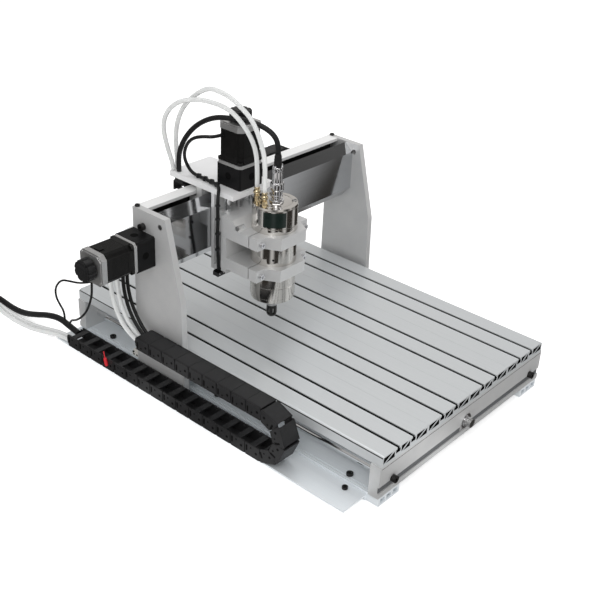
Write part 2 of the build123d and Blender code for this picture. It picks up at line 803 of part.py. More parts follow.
y_chain_end = y_bend_y + y_chain_links[0] * y_chain_pitch
with BuildPart() as y_chain_upper:
    chain_run("y", y_chain_x, y_bend_y, y_chain_links[0], y_chain_pitch, y_chain_width, y_chain_height, y_chain_wall, y_chain_high_z)
    bracket_z = (y_chain_high_z - y_chain_height / 2, y_chain_high_z + y_chain_height / 2)
    box_between((y_chain_right - 2.5, -plate_outer), (y_chain_end - 20, y_chain_end), (bracket_z[0], bracket_z[0] + 12))
keep(y_chain_upper, "y_chain_upper")

with BuildPart() as y_chain_bend:
    y_centre = (y_chain_x, y_bend_y, y_chain_low_z + y_chain_radius)
    chain_bend(y_centre, (0, -1, 0), (1, 0, 0), y_chain_radius, y_chain_width, y_chain_height, y_chain_wall)
keep(y_chain_bend, "y_chain_bend")

x_chain_high_z = x_chain_low_z + 2 * x_chain_radius
x_low_start = x_bend_x - x_chain_links[1] * x_chain_pitch
x_high_start = x_bend_x - x_chain_links[0] * x_chain_pitch
with BuildPart() as x_chain_lower:
    chain_run("x", x_chain_y, x_low_start, x_chain_links[1], x_chain_pitch, x_chain_width, x_chain_height, x_chain_wall, x_chain_low_z)
keep(x_chain_lower, "x_chain_lower")

with BuildPart() as x_chain_upper:
    chain_run("x", x_chain_y, x_high_start, x_chain_links[0], x_chain_pitch, x_chain_width, x_chain_height, x_chain_wall, x_chain_high_z)
    link_top = x_chain_high_z + x_chain_height / 2
    box_between((x_high_start, x_high_start + 18), (x_chain_y - 10, x_chain_y + 10), (link_top, top_plate_z))
keep(x_chain_upper, "x_chain_upper")

with BuildPart() as x_chain_bend:
    x_centre = (x_bend_x, x_chain_y, x_chain_low_z + x_chain_radius)
    chain_bend(x_centre, (1, 0, 0), (0, 1, 0), x_chain_radius, x_chain_width, x_chain_height, x_chain_wall)
keep(x_chain_bend, "x_chain_bend")


# ---------------------------------------------------------------------------
# Hoses and cables
# ---------------------------------------------------------------------------
def tube(name, points, radius):
    """A round cord of straight runs joined by tangent arcs, as large as the runs allow."""
    spots = [Vector(*point) for point in points]
    radii = []
    for before, corner, after in zip(spots, spots[1:], spots[2:]):
        incoming = corner - before
        outgoing = after - corner
        shorter = min(incoming.length, outgoing.length)
        turn = math.radians(incoming.get_angle(outgoing))
        radii.append(0.45 * shorter / math.tan(turn / 2))
    with BuildLine() as route:
        FilletPolyline(*spots, radius=radii)
    start = Plane(origin=spots[0], z_dir=spots[1] - spots[0])
    with BuildSketch(start) as section:
        Circle(radius)
    sweep(sections=section.sketch, path=route.line)
    length = sum(edge.length for edge in route.edges())
    print(name, "length", round(length, 1), "radii", [round(r) for r in radii])
    return length * math.pi * radius**2


def cords(name, radii, *routes):
    """One node of free cords, each with its own radius and route."""
    with BuildPart() as bundle:
        wanted = sum(tube(name, points, radius) for radius, points in zip(radii, routes))
    print(name, "volume ratio", round(bundle.part.volume / wanted, 4))
    keep(bundle, name)


def ring_coil(name, centre, inner, outer, height):
    """The outer shape of a coil that lies on the floor."""
    with BuildPart() as coil:
        round_ring(centre, (0, 0, 1), outer, inner, height)
    keep(coil, name)


fitting_top = spindle_top + fitting_height
cords(
    "water_hoses",
    (hose_r, hose_r),
    (
        (-106, 402, fitting_top),
        (-106, 402, 418),
        (-110, 406, 452),
        (-120, 417, 481),
        (-126, 440, 503),
        (-128, 465, 509),
        (-130, 488, 510),
        (-132, 513, 509),
        (-137, 546, 501),
        (-141, 568, 489),
        (-143, 586, 470),
        (-143, 595, 448),
        (-142, 594, 425),
        (-139, 586, 395),
        (-137.5, 579, 378),
        (-137, 577, 364.6),
    ),
    (
        (-115, 376, fitting_top),
        (-115, 376, 420),
        (-115, 379, 444),
        (-116, 392, 476),
        (-117, 409, 500),
        (-119, 431, 514),
        (-120, 451, 524),
        (-121, 476, 529),
        (-123, 498, 530),
        (-123, 519, 521),
        (-125, 541, 504),
        (-127, 560, 484),
        (-128, 573, 459),
        (-128, 580, 430),
        (-128, 579, 401),
        (-128, 577, 380),
        (-128, 577, 364.6),
    ),
)
cords(
    "spindle_cable",
    (4.5,),
    (
        (connector_x, connector_y, spindle_top + connector_height),
        (-93, 368, 462),
        (-96, 380, 478),
        (-104, 403, 488),
        (-109, 428, 490),
        (-119.5, 452, 489),
        (-124, 480, 485),
        (-129, 505, 474),
        (-134, 527, 457),
        (-138, 545, 434),
        (-138, 558, 410),
        (-135, 566, 388),
        (-133, 567, 364.5),
    ),
)
cords(
    "carriage_cables",
    (3,),
    (
        (-120.2, 472, 455),
        (-138, 472, 455),
        (-150, 488, 455),
        (-153, 510, 447),
        (-150, 529, 429),
        (-145, 541, 406),
        (-136, 545, 386),
        (-130, 537, 369),
        (-129, 516, 367.5),
        (-131, 495, 368),
        (-134, 474, 369),
        (-142, 457, 371),
        (-154, 447, 361),
        (-158, 444, 341),
        (-158, 443, 318),
        (-159, 443, 294),
        (-158, 444, 270),
        (-154, 446, 247),
        (-152, 447, 219.3),
    ),
)
cords(
    "gantry_lines",
    (3.25, 3.25, hose_r, hose_r),
    (
        (-200.4, 553.6, 280.6),
        (-221, 553.6, 280.8),
        (-243, 553.7, 278.5),
        (-261, 553.8, 265),
        (-268, 554, 243),
        (-269, 556, 220),
        (-269.5, 556, 196),
        (-270, 551, 171),
        (-270.5, 540, 147),
        (-271, 522, 124),
        (-271, 500.8, 107.3),
    ),
    (
        (-200.4, 553.6, 287.4),
        (-224, 553.6, 287.6),
        (-249, 553.7, 286),
        (-270, 553.8, 271),
        (-276.5, 554, 246),
        (-277.5, 557, 220),
        (-278, 557, 193),
        (-278, 552, 168),
        (-278.3, 541, 144),
        (-278.5, 523, 122),
        (-278.5, 500.8, 107.3),
    ),
    (
        (-200.4, 562.5, 284),
        (-225, 562.5, 284.5),
        (-252, 562.6, 284),
        (-275, 563, 270),
        (-285, 563, 245),
        (-286, 564, 218),
        (-286.5, 563, 190),
        (-286.5, 557, 163),
        (-286.5, 545, 138),
        (-286.5, 525, 118),
        (-286.5, 500.8, 107.3),
    ),
    (
        (-200.4, 571.5, 284),
        (-226, 571.5, 285),
        (-256, 571.6, 285),
        (-281, 572, 270),
        (-293, 572, 243),
        (-294.5, 572, 215),
        (-295, 570, 186),
        (-295, 563, 158),
        (-295, 549, 133),
        (-295, 527, 115),
        (-295, 500.8, 107.3),
    ),
)
lead_r = 2
cords(
    "x_motor_lead",
    (lead_r,),
    (
        (-367, 528, 248.3),
        (-367, 528, 222),
        (-364, 541, 195),
        (-356, 561, 170),
        (-346, 586, 146),
        (-334, 614, 123),
        (-320, 643, 102),
        (-305, 671, 83),
        (-291, 698, 66),
        (-281, 716, 52),
        (-276, 727, 40.8),
    ),
)
loom_r = 6
floor_gap = 0.2
loom_z = loom_r + floor_gap
hose_z = hose_r + floor_gap
y_chain_back = y_bend_y + y_chain_links[1] * y_chain_pitch
cords(
    "outlet_lines",
    (loom_r, hose_r, hose_r, lead_r),
    (
        (-275.5, y_chain_back, 28.6),
        (-275, 731, 33),
        (-273, 762, 36),
        (-277, 795, 31),
        (-283, 829, 20),
        (-286, 863, 10),
        (-287, 898, loom_z),
        (-285, 932, loom_z),
        (-283, 964.8, loom_z),
    ),
    (
        (-286.3, y_chain_back, 20.2),
        (-287, 733, 20),
        (-291, 767, 14.5),
        (-295, 801, 8),
        (-298, 835, hose_z),
        (-300, 869, hose_z),
        (-299, 903, hose_z),
        (-296, 930, hose_z),
        (-294.5, 954.6, hose_z),
    ),
    (
        (-294.8, y_chain_back, 20.2),
        (-296, 734, 19.5),
        (-301, 768, 13),
        (-306, 802, 7),
        (-309, 836, hose_z),
        (-311, 870, hose_z),
        (-309, 902, hose_z),
        (-305, 926, hose_z),
        (-303, 948.2, hose_z),
    ),
    (
        (-28.7, 812, 43),
        (-62, 812, 43),
        (-98, 808, 48),
        (-133, 799, 57),
        (-167, 787, 68),
        (-199, 773, 82),
        (-228, 760, 98),
        (-253, 751, 115),
        (-275, 746, 128),
        (-290, 745, 118),
        (-290, 745, 97),
        (-282, 745, 76),
        (-274, 745, 58),
        (-274, 745, 41.6),
    ),
)
ring_coil("outlet_coil", (-343, 1005, 0), 35.5, 67, 50.5)
print(len(made), "pieces,", "moved by", to_origin.position)
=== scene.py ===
import math

import bmesh
import bpy
from mathutils import Matrix, Vector
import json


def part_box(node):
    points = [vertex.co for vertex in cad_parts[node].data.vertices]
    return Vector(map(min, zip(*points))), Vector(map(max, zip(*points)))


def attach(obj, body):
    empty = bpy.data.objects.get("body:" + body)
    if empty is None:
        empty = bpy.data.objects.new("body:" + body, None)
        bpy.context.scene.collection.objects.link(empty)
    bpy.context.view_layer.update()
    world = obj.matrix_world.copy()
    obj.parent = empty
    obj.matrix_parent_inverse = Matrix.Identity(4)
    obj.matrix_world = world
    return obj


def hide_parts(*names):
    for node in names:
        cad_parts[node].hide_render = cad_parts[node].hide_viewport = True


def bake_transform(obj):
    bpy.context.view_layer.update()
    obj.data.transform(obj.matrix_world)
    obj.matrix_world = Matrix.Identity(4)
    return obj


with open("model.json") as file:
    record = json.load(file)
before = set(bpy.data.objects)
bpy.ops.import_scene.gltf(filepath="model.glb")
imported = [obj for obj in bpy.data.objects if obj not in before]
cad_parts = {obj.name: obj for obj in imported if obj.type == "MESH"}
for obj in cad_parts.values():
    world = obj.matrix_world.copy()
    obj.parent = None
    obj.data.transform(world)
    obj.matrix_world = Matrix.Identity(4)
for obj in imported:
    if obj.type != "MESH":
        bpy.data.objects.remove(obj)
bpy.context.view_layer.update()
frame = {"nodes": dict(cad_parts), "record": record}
nodes = frame["nodes"]
bed_low, bed_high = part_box("bed_panels")
# bed centre line, bed front, floor
ORIGIN = Vector(((bed_low[0] + bed_high[0]) / 2, bed_low[1], 0))


def at(x, y, z):
    """A point in the machine's own frame in mm (bed centre line, bed front, floor)."""
    return ORIGIN + Vector((x, y, z)) / 1000


BED_LENGTH = 740
Y_SCREW_Z = 43


# ---------------------------------------------------------------------------
# Camera, lights and floor
# ---------------------------------------------------------------------------
SENSOR_WIDTH = 36  # mm


def look_camera(position, yaw, pitch, roll, lens):
    """The camera: yaw from +Y towards +X, pitch above level, roll about the line of sight, in radians."""
    forward = Vector((math.sin(yaw) * math.cos(pitch), math.cos(yaw) * math.cos(pitch), math.sin(pitch)))
    side = Vector((math.cos(yaw), -math.sin(yaw), 0))
    up = side.cross(forward)
    right = side * math.cos(roll) + up * math.sin(roll)
    top = up * math.cos(roll) - side * math.sin(roll)
    data = bpy.data.cameras.new("camera")
    data.lens = lens
    data.sensor_width = SENSOR_WIDTH
    data.clip_start = 0.05
    obj = bpy.data.objects.new("camera", data)
    matrix = Matrix((right, top, -forward)).transposed().to_4x4()
    matrix.translation = position
    obj.matrix_world = matrix
    bpy.context.scene.collection.objects.link(obj)
    bpy.context.scene.camera = obj


look_camera(
    at(-1278.6, -695.6, 1063.8),
    yaw=math.radians(49.83), pitch=math.radians(-29.34), roll=math.radians(2.87), lens=61.36,
)

world = bpy.data.worlds.new("studio")
bpy.context.scene.world = world
world.use_nodes = True
bpy.context.scene.view_settings.view_transform = "Standard"


def studio_world():
    """White all round for the camera, with dark upright strips that only glossy rays see."""
    tree = world.node_tree
    sky = tree.nodes["Background"]
    place = tree.nodes.new("ShaderNodeTexCoord")
    split = tree.nodes.new("ShaderNodeSeparateXYZ")
    tree.links.new(place.outputs["Generated"], split.inputs[0])
    turn = tree.nodes.new("ShaderNodeMath")
    turn.operation = "ARCTAN2"
    tree.links.new(split.outputs["Y"], turn.inputs[0])
    tree.links.new(split.outputs["X"], turn.inputs[1])
    share = tree.nodes.new("ShaderNodeMapRange")
    share.inputs["From Min"].default_value = -math.pi
    share.inputs["From Max"].default_value = math.pi
    tree.links.new(turn.outputs[0], share.inputs["Value"])
    strips = tree.nodes.new("ShaderNodeValToRGB")
    ramp = strips.color_ramp
    ramp.interpolation = "EASE"
    # place round the horizon and grey level
    stops = (
        (0.0, 0.95), (0.05, 0.8), (0.10, 0.2), (0.14, 0.35), (0.175, 1.0), (0.215, 1.0), (0.25, 0.25),
        (0.283, 0.05),
        (0.315, 0.3), (0.345, 0.85), (0.37, 0.3), (0.41, 0.2), (0.433, 0.1), (0.517, 0.5),
        (0.60, 0.9), (0.68, 0.25),
        (0.76, 0.85), (0.84, 0.2), (0.92, 0.6), (0.96, 1.0),
    )
    while len(ramp.elements) < len(stops):
        ramp.elements.new(0.5)
    for element, (where, grey) in zip(ramp.elements, stops):
        element.position = where
        element.color = (grey, grey * 0.975, grey * 0.95, 1)
    tree.links.new(share.outputs["Result"], strips.inputs["Fac"])
    kind = tree.nodes.new("ShaderNodeLightPath")
    mix = tree.nodes.new("ShaderNodeMix")
    mix.data_type = "RGBA"
    mix.inputs[6].default_value = (1, 1, 1, 1)
    tree.links.new(kind.outputs["Is Glossy Ray"], mix.inputs[0])
    tree.links.new(strips.outputs["Color"], mix.inputs[7])
    seen = tree.nodes.new("ShaderNodeMix")
    seen.data_type = "RGBA"
    seen.inputs[7].default_value = (1.5, 1.5, 1.5, 1)
    tree.links.new(kind.outputs["Is Camera Ray"], seen.inputs[0])
    tree.links.new(mix.outputs[2], seen.inputs[6])
    tree.links.new(seen.outputs[2], sky.inputs["Color"])
    sky.inputs["Strength"].default_value = 0.70


studio_world()


def area_light(name, position, target, size, power):
    """A rectangular lamp in metres and watts, turned to its target."""
    data = bpy.data.lights.new(name, "AREA")
    data.shape = "RECTANGLE"
    data.size, data.size_y = size
    data.energy = power
    obj = bpy.data.objects.new(name, data)
    obj.location = position
    obj.rotation_euler = (Vector(target) - Vector(position)).to_track_quat("-Z", "Y").to_euler()
    bpy.context.scene.collection.objects.link(obj)


area_light("key", (-1.9, -1.3, 2.3), (0, 0, 0.1), size=(1.4, 1.4), power=22)
area_light("fill", (1.9, -1.6, 1.5), (0, 0, 0.2), size=(1.6, 1.2), power=8)
area_light("top", (0.2, 0.5, 2.6), (0, 0, 0.1), size=(1.8, 1.8), power=16)


# ---------------------------------------------------------------------------
# Materials
# ---------------------------------------------------------------------------
def material(
    name, colour, rough, metal=0.0, second=None, grain=(60, 60, 60), spread=0.06, bump=0.0,
    bump_scale=900, **sockets,
):
    """A surface with slow colour variation, uneven gloss and a fine relief."""
    mat = bpy.data.materials.new(name)
    mat.use_nodes = True
    tree = mat.node_tree
    shader = tree.nodes["Principled BSDF"]
    place = tree.nodes.new("ShaderNodeTexCoord")
    mapping = tree.nodes.new("ShaderNodeMapping")
    mapping.inputs["Scale"].default_value = grain
    tree.links.new(place.outputs["Object"], mapping.inputs["Vector"])
    noise = tree.nodes.new("ShaderNodeTexNoise")
    noise.inputs["Scale"].default_value = 1.0
    noise.inputs["Detail"].default_value = 6
    tree.links.new(mapping.outputs["Vector"], noise.inputs["Vector"])
    mix = tree.nodes.new("ShaderNodeMix")
    mix.data_type = "RGBA"
    other = second or tuple(c * 0.86 for c in colour)
    mix.inputs[6].default_value = (*colour, 1)
    mix.inputs[7].default_value = (*other, 1)
    tree.links.new(noise.outputs["Fac"], mix.inputs[0])
    tree.links.new(mix.outputs[2], shader.inputs["Base Color"])
    gloss = tree.nodes.new("ShaderNodeMapRange")
    gloss.inputs["To Min"].default_value = max(0.02, rough - spread)
    gloss.inputs["To Max"].default_value = rough + spread
    tree.links.new(noise.outputs["Fac"], gloss.inputs["Value"])
    tree.links.new(gloss.outputs["Result"], shader.inputs["Roughness"])
    shader.inputs["Metallic"].default_value = metal
    if bump:
        fine = tree.nodes.new("ShaderNodeTexNoise")
        fine.inputs["Scale"].default_value = bump_scale
        fine.inputs["Detail"].default_value = 3
        tree.links.new(place.outputs["Object"], fine.inputs["Vector"])
        relief = tree.nodes.new("ShaderNodeBump")
        relief.inputs["Strength"].default_value = bump
        relief.inputs["Distance"].default_value = 0.0004
        tree.links.new(fine.outputs["Fac"], relief.inputs["Height"])
        tree.links.new(relief.outputs["Normal"], shader.inputs["Normal"])
    for socket, value in sockets.items():
        shader.inputs[socket.replace("_", " ")].default_value = value
    return mat


BED = material(
    "bed_aluminium", (0.70, 0.72, 0.73), 0.38, 0.45, (0.62, 0.645, 0.66), (900, 6, 900), 0.07, 0.10,
    1200,
)
SILVER = material(
    "frame_silver", (0.70, 0.70, 0.695), 0.42, 0.5, (0.62, 0.625, 0.63), (40, 40, 40), 0.05, 0.12,
    2200,
)
WHITE_BEAM = material(
    "white_beam", (0.88, 0.88, 0.88), 0.45, 0.15, (0.82, 0.82, 0.83), (8, 60, 60), 0.05, 0.06, 1500,
)
RAIL = material(
    "rail_aluminium", (0.90, 0.94, 0.96), 0.36, 0.25, (0.80, 0.84, 0.88), (600, 4, 600), 0.07, 0.1,
    1300,
)
COVER = material(
    "polished_cover", (0.62, 0.63, 0.645), 0.11, 1.0, (0.52, 0.53, 0.545), (8, 700, 700), 0.03, 0.02,
    900,
)
CHROME = material("ground_steel", (0.86, 0.87, 0.88), 0.10, 1.0, (0.76, 0.77, 0.78), (300, 300, 300), 0.03)
STEEL = material(
    "screw_steel", (0.52, 0.52, 0.52), 0.32, 1.0, (0.42, 0.42, 0.42), (400, 400, 400), 0.08, 0.2,
    1800,
)
SPINDLE = material(
    "spindle_steel", (0.72, 0.70, 0.67), 0.11, 1.0, (0.62, 0.60, 0.57), (30, 30, 1600), 0.04, 0.04,
    1500,
)
BRASS = material(
    "brass_fitting", (0.78, 0.66, 0.44), 0.20, 1.0, (0.62, 0.50, 0.30), (200, 200, 200), 0.06, 0.05,
    1500,
)
BLACK = material(
    "motor_black", (0.004, 0.004, 0.0045), 0.36, 0.0, (0.008, 0.008, 0.0085), (90, 90, 90), 0.08,
    0.25, 1600, Specular_IOR_Level=0.14,
)
LAMINATE = material(
    "motor_laminate", (0.004, 0.004, 0.004), 0.32, 0.0, (0.009, 0.0085, 0.008), (90, 90, 90), 0.06,
    0.1, 2500, Specular_IOR_Level=0.16,
)
CAST = material(
    "motor_silver", (0.66, 0.66, 0.66), 0.36, 0.9, (0.55, 0.55, 0.55), (160, 160, 160), 0.08, 0.35,
    1400,
)
OXIDE = material(
    "bolt_black", (0.010, 0.010, 0.010), 0.30, 0.3, (0.022, 0.021, 0.020), (300, 300, 300), 0.08, 0.1,
    1500, Specular_IOR_Level=0.35,
)
BRIGHT = material("bolt_chrome", (0.78, 0.78, 0.79), 0.15, 1.0, (0.66, 0.66, 0.68), (300, 300, 300), 0.05)
CHAIN = material(
    "chain_black", (0.015, 0.015, 0.016), 0.44, 0.0, (0.026, 0.026, 0.027), (120, 120, 120), 0.07,
    0.35, 2600, Specular_IOR_Level=0.3,
)
KNOB = material(
    "knob_black", (0.008, 0.008, 0.0085), 0.40, 0.0, (0.015, 0.015, 0.016), (140, 140, 140), 0.08,
    0.3, 2200, Specular_IOR_Level=0.3,
)
IVORY = material(
    "connector_white", (0.95, 0.93, 0.89), 0.35, 0.0, (0.88, 0.86, 0.81), (120, 120, 120), 0.06, 0.1,
    1800,
)
RED = material("lead_red", (0.70, 0.02, 0.03), 0.35, 0.0, (0.52, 0.01, 0.02), (150, 150, 150), 0.05)
CABLE = material(
    "cable_black", (0.006, 0.006, 0.0065), 0.44, 0.0, (0.012, 0.012, 0.0125), (60, 60, 60), 0.08, 0.2,
    2400, Specular_IOR_Level=0.3,
)
# painted shade: near-black set into holes, slots, seams and gaps between parts, where shade falls
RECESS_SHADE = material(
    "painted_recess_shade", (0.003, 0.003, 0.003), 0.7, 0.0, (0.006, 0.006, 0.006), (50, 50, 50), 0.1,
    Specular_IOR_Level=0.05,
)
# painted shade: grey for the inside of the end beams' grooves
GROOVE_SHADE = material("groove_shade_grey", (0.20, 0.21, 0.22), 0.5, 0.5, (0.14, 0.145, 0.15), (400, 6, 400), 0.1)
LABEL = material(
    "label_plate", (0.006, 0.012, 0.010), 0.22, 0.0, (0.011, 0.020, 0.017), (80, 80, 80), 0.06,
    Specular_IOR_Level=0.4,
)
HOSE = material(
    "hose_clear", (0.95, 0.96, 0.95), 0.20, 0.0, (0.89, 0.90, 0.90), (70, 70, 70), 0.05,
    Transmission_Weight=0.35, IOR=1.33,
)

finish_of = {
    "bed_aluminium": BED,
    "frame_silver": SILVER,
    "rail_aluminium": RAIL,
    "polished_cover": COVER,
    "ground_steel": CHROME,
    "screw_steel": STEEL,
    "motor_black": BLACK,
    "motor_silver": CAST,
    "bolt_black": OXIDE,
    "bolt_chrome": BRIGHT,
    "spindle_steel": SPINDLE,
    "brass_fitting": BRASS,
    "chain_black": CHAIN,
    "knob_black": KNOB,
    "connector_white": IVORY,
    "hose_clear": HOSE,
    "cable_black": CABLE,
}
slot_of = {part["node"]: part["material_slot"] for part in frame["record"]["subparts"]}
for node, obj in nodes.items():
    obj.data.materials.clear()
    obj.data.materials.append(finish_of[slot_of[node]])
nodes["z_top_plate"].data.materials[0] = WHITE_BEAM


def paint_shade_inside(mat, low, high):
    """Painted shade: a black coat on whatever lies between two corners, for the shade inside a channel."""
    tree = mat.node_tree
    shader = tree.nodes["Principled BSDF"]
    base = shader.inputs["Base Color"].links[0].from_socket
    place = tree.nodes.new("ShaderNodeTexCoord")
    split = tree.nodes.new("ShaderNodeSeparateXYZ")
    tree.links.new(place.outputs["Object"], split.inputs[0])
    share = None
    for axis in range(3):
        for operation, limit in (("GREATER_THAN", low[axis]), ("LESS_THAN", high[axis])):
            test = tree.nodes.new("ShaderNodeMath")
            test.operation = operation
            tree.links.new(split.outputs[axis], test.inputs[0])
            test.inputs[1].default_value = limit
            if share is None:
                share = test.outputs[0]
                continue
            both = tree.nodes.new("ShaderNodeMath")
            both.operation = "MULTIPLY"
            tree.links.new(share, both.inputs[0])
            tree.links.new(test.outputs[0], both.inputs[1])
            share = both.outputs[0]
    mix = tree.nodes.new("ShaderNodeMix")
    mix.data_type = "RGBA"
    mix.inputs[7].default_value = (0.004, 0.004, 0.004, 1)
    tree.links.new(share, mix.inputs[0])
    tree.links.new(base, mix.inputs[6])
    tree.links.new(mix.outputs[2], shader.inputs["Base Color"])


# painted shade: the insides of the T-slots and of the beam's channel are painted black, where shade falls
BEAM = material(
    "beam_channel_shade", (0.90, 0.90, 0.89), 0.45, 0.15, (0.83, 0.83, 0.83), (8, 60, 60), 0.05, 0.06, 1500,
)
paint_shade_inside(BED, at(-239.6, 0.5, 77.4), at(239.6, 739.5, 95.2))
paint_shade_inside(BEAM, at(-249.9, 516, 228.8), at(249.9, 535.3, 338.2))
nodes["gantry_beam"].data.materials[0] = BEAM

FLOOR_HALF = 6  # m
FLOOR_GAP = 0.0005  # m, below the rails' soles
floor_mesh = bpy.data.meshes.new("floor")
r = FLOOR_HALF
floor_mesh.from_pydata([(-r, -r, 0), (r, -r, 0), (r, r, 0), (-r, r, 0)], [], [(0, 1, 2, 3)])
floor = bpy.data.objects.new("floor", floor_mesh)
floor.location.z = -FLOOR_GAP
FLOOR = material(
    "floor_white", (0.93, 0.93, 0.93), 0.7, 0.0, (0.91, 0.91, 0.91), (3, 3, 3), 0.05,
    Emission_Color=(1, 1, 1, 1), Emission_Strength=0.42,
)
floor.data.materials.append(FLOOR)


def paint_reflection_bands(mat, bands, dim):
    """Painted reflection: for glossy rays only, the floor glows in dark and light bands, so shiny parts reflect
    stripes as from flags that stand round a studio.
    """
    tree = mat.node_tree
    lit = next(node for node in tree.nodes if node.type == "BSDF_PRINCIPLED")
    end = next(node for node in tree.nodes if node.type == "OUTPUT_MATERIAL")
    place = tree.nodes.new("ShaderNodeTexCoord")
    split = tree.nodes.new("ShaderNodeSeparateXYZ")
    tree.links.new(place.outputs["Object"], split.inputs[0])
    turn = tree.nodes.new("ShaderNodeMath")
    turn.operation = "ARCTAN2"
    tree.links.new(split.outputs["Y"], turn.inputs[0])
    tree.links.new(split.outputs["X"], turn.inputs[1])
    wave = tree.nodes.new("ShaderNodeMath")
    wave.operation = "MULTIPLY"
    wave.inputs[1].default_value = bands
    tree.links.new(turn.outputs[0], wave.inputs[0])
    sine = tree.nodes.new("ShaderNodeMath")
    sine.operation = "SINE"
    tree.links.new(wave.outputs[0], sine.inputs[0])
    tone = tree.nodes.new("ShaderNodeValToRGB")
    tone.color_ramp.elements[0].color = (0.05, 0.045, 0.04, 1)
    tone.color_ramp.elements[0].position = 0.1
    tone.color_ramp.elements[1].color = (0.8, 0.8, 0.8, 1)
    tree.links.new(sine.outputs[0], tone.inputs["Fac"])
    reflection_glow = tree.nodes.new("ShaderNodeEmission")
    reflection_glow.inputs["Strength"].default_value = dim
    tree.links.new(tone.outputs["Color"], reflection_glow.inputs["Color"])
    kind = tree.nodes.new("ShaderNodeLightPath")
    mix = tree.nodes.new("ShaderNodeMixShader")
    tree.links.new(kind.outputs["Is Glossy Ray"], mix.inputs[0])
    tree.links.new(lit.outputs[0], mix.inputs[1])
    tree.links.new(reflection_glow.outputs[0], mix.inputs[2])
    tree.links.new(mix.outputs[0], end.inputs["Surface"])


# painted reflection: glowing bands on the floor that only glossy rays see
paint_reflection_bands(FLOOR, bands=7, dim=0.75)
bpy.context.scene.collection.objects.link(floor)


# ---------------------------------------------------------------------------
# Mesh making. Sizes in mm.
# ---------------------------------------------------------------------------
class Shape:
    """Several closed forms in one mesh, each in its own material."""

    def __init__(self, place=None):
        self.bm = bmesh.new()
        self.mats = []
        self.place = place or Matrix.Identity(4)

    def _faces(self, faces, mat):
        if mat not in self.mats:
            self.mats.append(mat)
        for face in faces:
            face.material_index = self.mats.index(mat)

    def _point(self, x, y, z):
        return self.bm.verts.new(self.place @ Vector((x, y, z)))

    def box(self, x, y, z, mat):
        v = [self._point(x[i], y[j], z[k]) for k in (0, 1) for j in (0, 1) for i in (0, 1)]
        order = ((0, 2, 3, 1), (4, 5, 7, 6), (0, 1, 5, 4), (2, 6, 7, 3), (0, 4, 6, 2), (1, 3, 7, 5))
        self._faces([self.bm.faces.new([v[k] for k in quad]) for quad in order], mat)

    def prism(self, outline, low, high, mat, axis="z"):
        """A closed outline drawn out along an axis: for x it is (y, z), for y (x, z), for z (x, y)."""
        def spot(u, v, w):
            return {"x": (w, u, v), "y": (u, w, v), "z": (u, v, w)}[axis]
        near = [self._point(*spot(u, v, low)) for u, v in outline]
        far = [self._point(*spot(u, v, high)) for u, v in outline]
        n = len(outline)
        faces = [self.bm.faces.new(near[::-1]), self.bm.faces.new(far)]
        faces += [self.bm.faces.new((near[k], near[(k + 1) % n], far[(k + 1) % n], far[k])) for k in range(n)]
        self._faces(faces, mat)

    def turned(self, profile, mat, base=(0, 0, 0), direction=(0, 0, 1), sides=48):
        """A turned form: (radius, distance) pairs from one end of the axis to the other."""
        turn = Vector(direction).to_track_quat("Z", "Y").to_matrix()
        rings = []
        for radius, along in profile:
            if radius < 1e-6:
                rings.append([self._point(*(Vector(base) + turn @ Vector((0, 0, along))))])
                continue
            rings.append([
                self._point(*(Vector(base) + turn @ Vector((radius * math.cos(a), radius * math.sin(a), along))))
                for a in (2 * math.pi * k / sides for k in range(sides))
            ])
        faces = []
        for low, high in zip(rings, rings[1:]):
            for k in range(sides):
                m = (k + 1) % sides
                if len(low) == 1:
                    faces.append(self.bm.faces.new((low[0], high[m], high[k])))
                elif len(high) == 1:
                    faces.append(self.bm.faces.new((low[k], low[m], high[0])))
                else:
                    faces.append(self.bm.faces.new((low[k], low[m], high[m], high[k])))
        if len(rings[0]) > 1:
            faces.append(self.bm.faces.new(rings[0][::-1]))
        if len(rings[-1]) > 1:
            faces.append(self.bm.faces.new(rings[-1]))
        self._faces(faces, mat)

    def done(self, name, body=None, slot=None, bevel=0.4, replaced=()):
        """Turn the forms into one object in metres, with its edges bevelled by bevel mm."""
        bmesh.ops.recalc_face_normals(self.bm, faces=self.bm.faces)
        for vert in self.bm.verts:
            vert.co = at(*vert.co)
        mesh = bpy.data.meshes.new(name)
        self.bm.to_mesh(mesh)
        self.bm.free()
        for mat in self.mats:
            mesh.materials.append(mat)
        mesh.polygons.foreach_set("use_smooth", [True] * len(mesh.polygons))
        mesh.set_sharp_from_angle(angle=math.radians(32))
        obj = bpy.data.objects.new(name, mesh)
        bpy.context.scene.collection.objects.link(obj)
        if bevel:
            edge = obj.modifiers.new("edge", "BEVEL")
            edge.width = bevel / 1000
            edge.segments = 2
            edge.limit_method = "ANGLE"
            edge.angle_limit = math.radians(35)
            edge.harden_normals = True
        if body:
            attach(obj, body)
        if replaced:
            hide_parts(*replaced)
        return obj


# ---------------------------------------------------------------------------
# Free cords. The control points are the routes of the CAD tubes.
# ---------------------------------------------------------------------------
def spline_curve(name, points):
    """An open NURBS spline through the machine's frame, its points in mm."""
    data = bpy.data.curves.new(name, "CURVE")
    data.dimensions = "3D"
    data.resolution_u = 8
    spline = data.splines.new("NURBS")
    spline.points.add(len(points) - 1)
    for point, place in zip(spline.points, points):
        point.co = (*at(*place), 1)
    spline.order_u = 3
    spline.use_endpoint_u = True
    obj = bpy.data.objects.new(name, data)
    bpy.context.scene.collection.objects.link(obj)
    return obj


def route_points(curve):
    """Points along the line of a curve that has no bevel yet, in metres."""
    bpy.context.view_layer.update()
    mesh = bpy.data.meshes.new_from_object(curve.evaluated_get(bpy.context.evaluated_depsgraph_get()))
    points = [vertex.co.copy() for vertex in mesh.vertices]
    bpy.data.meshes.remove(mesh)
    return points


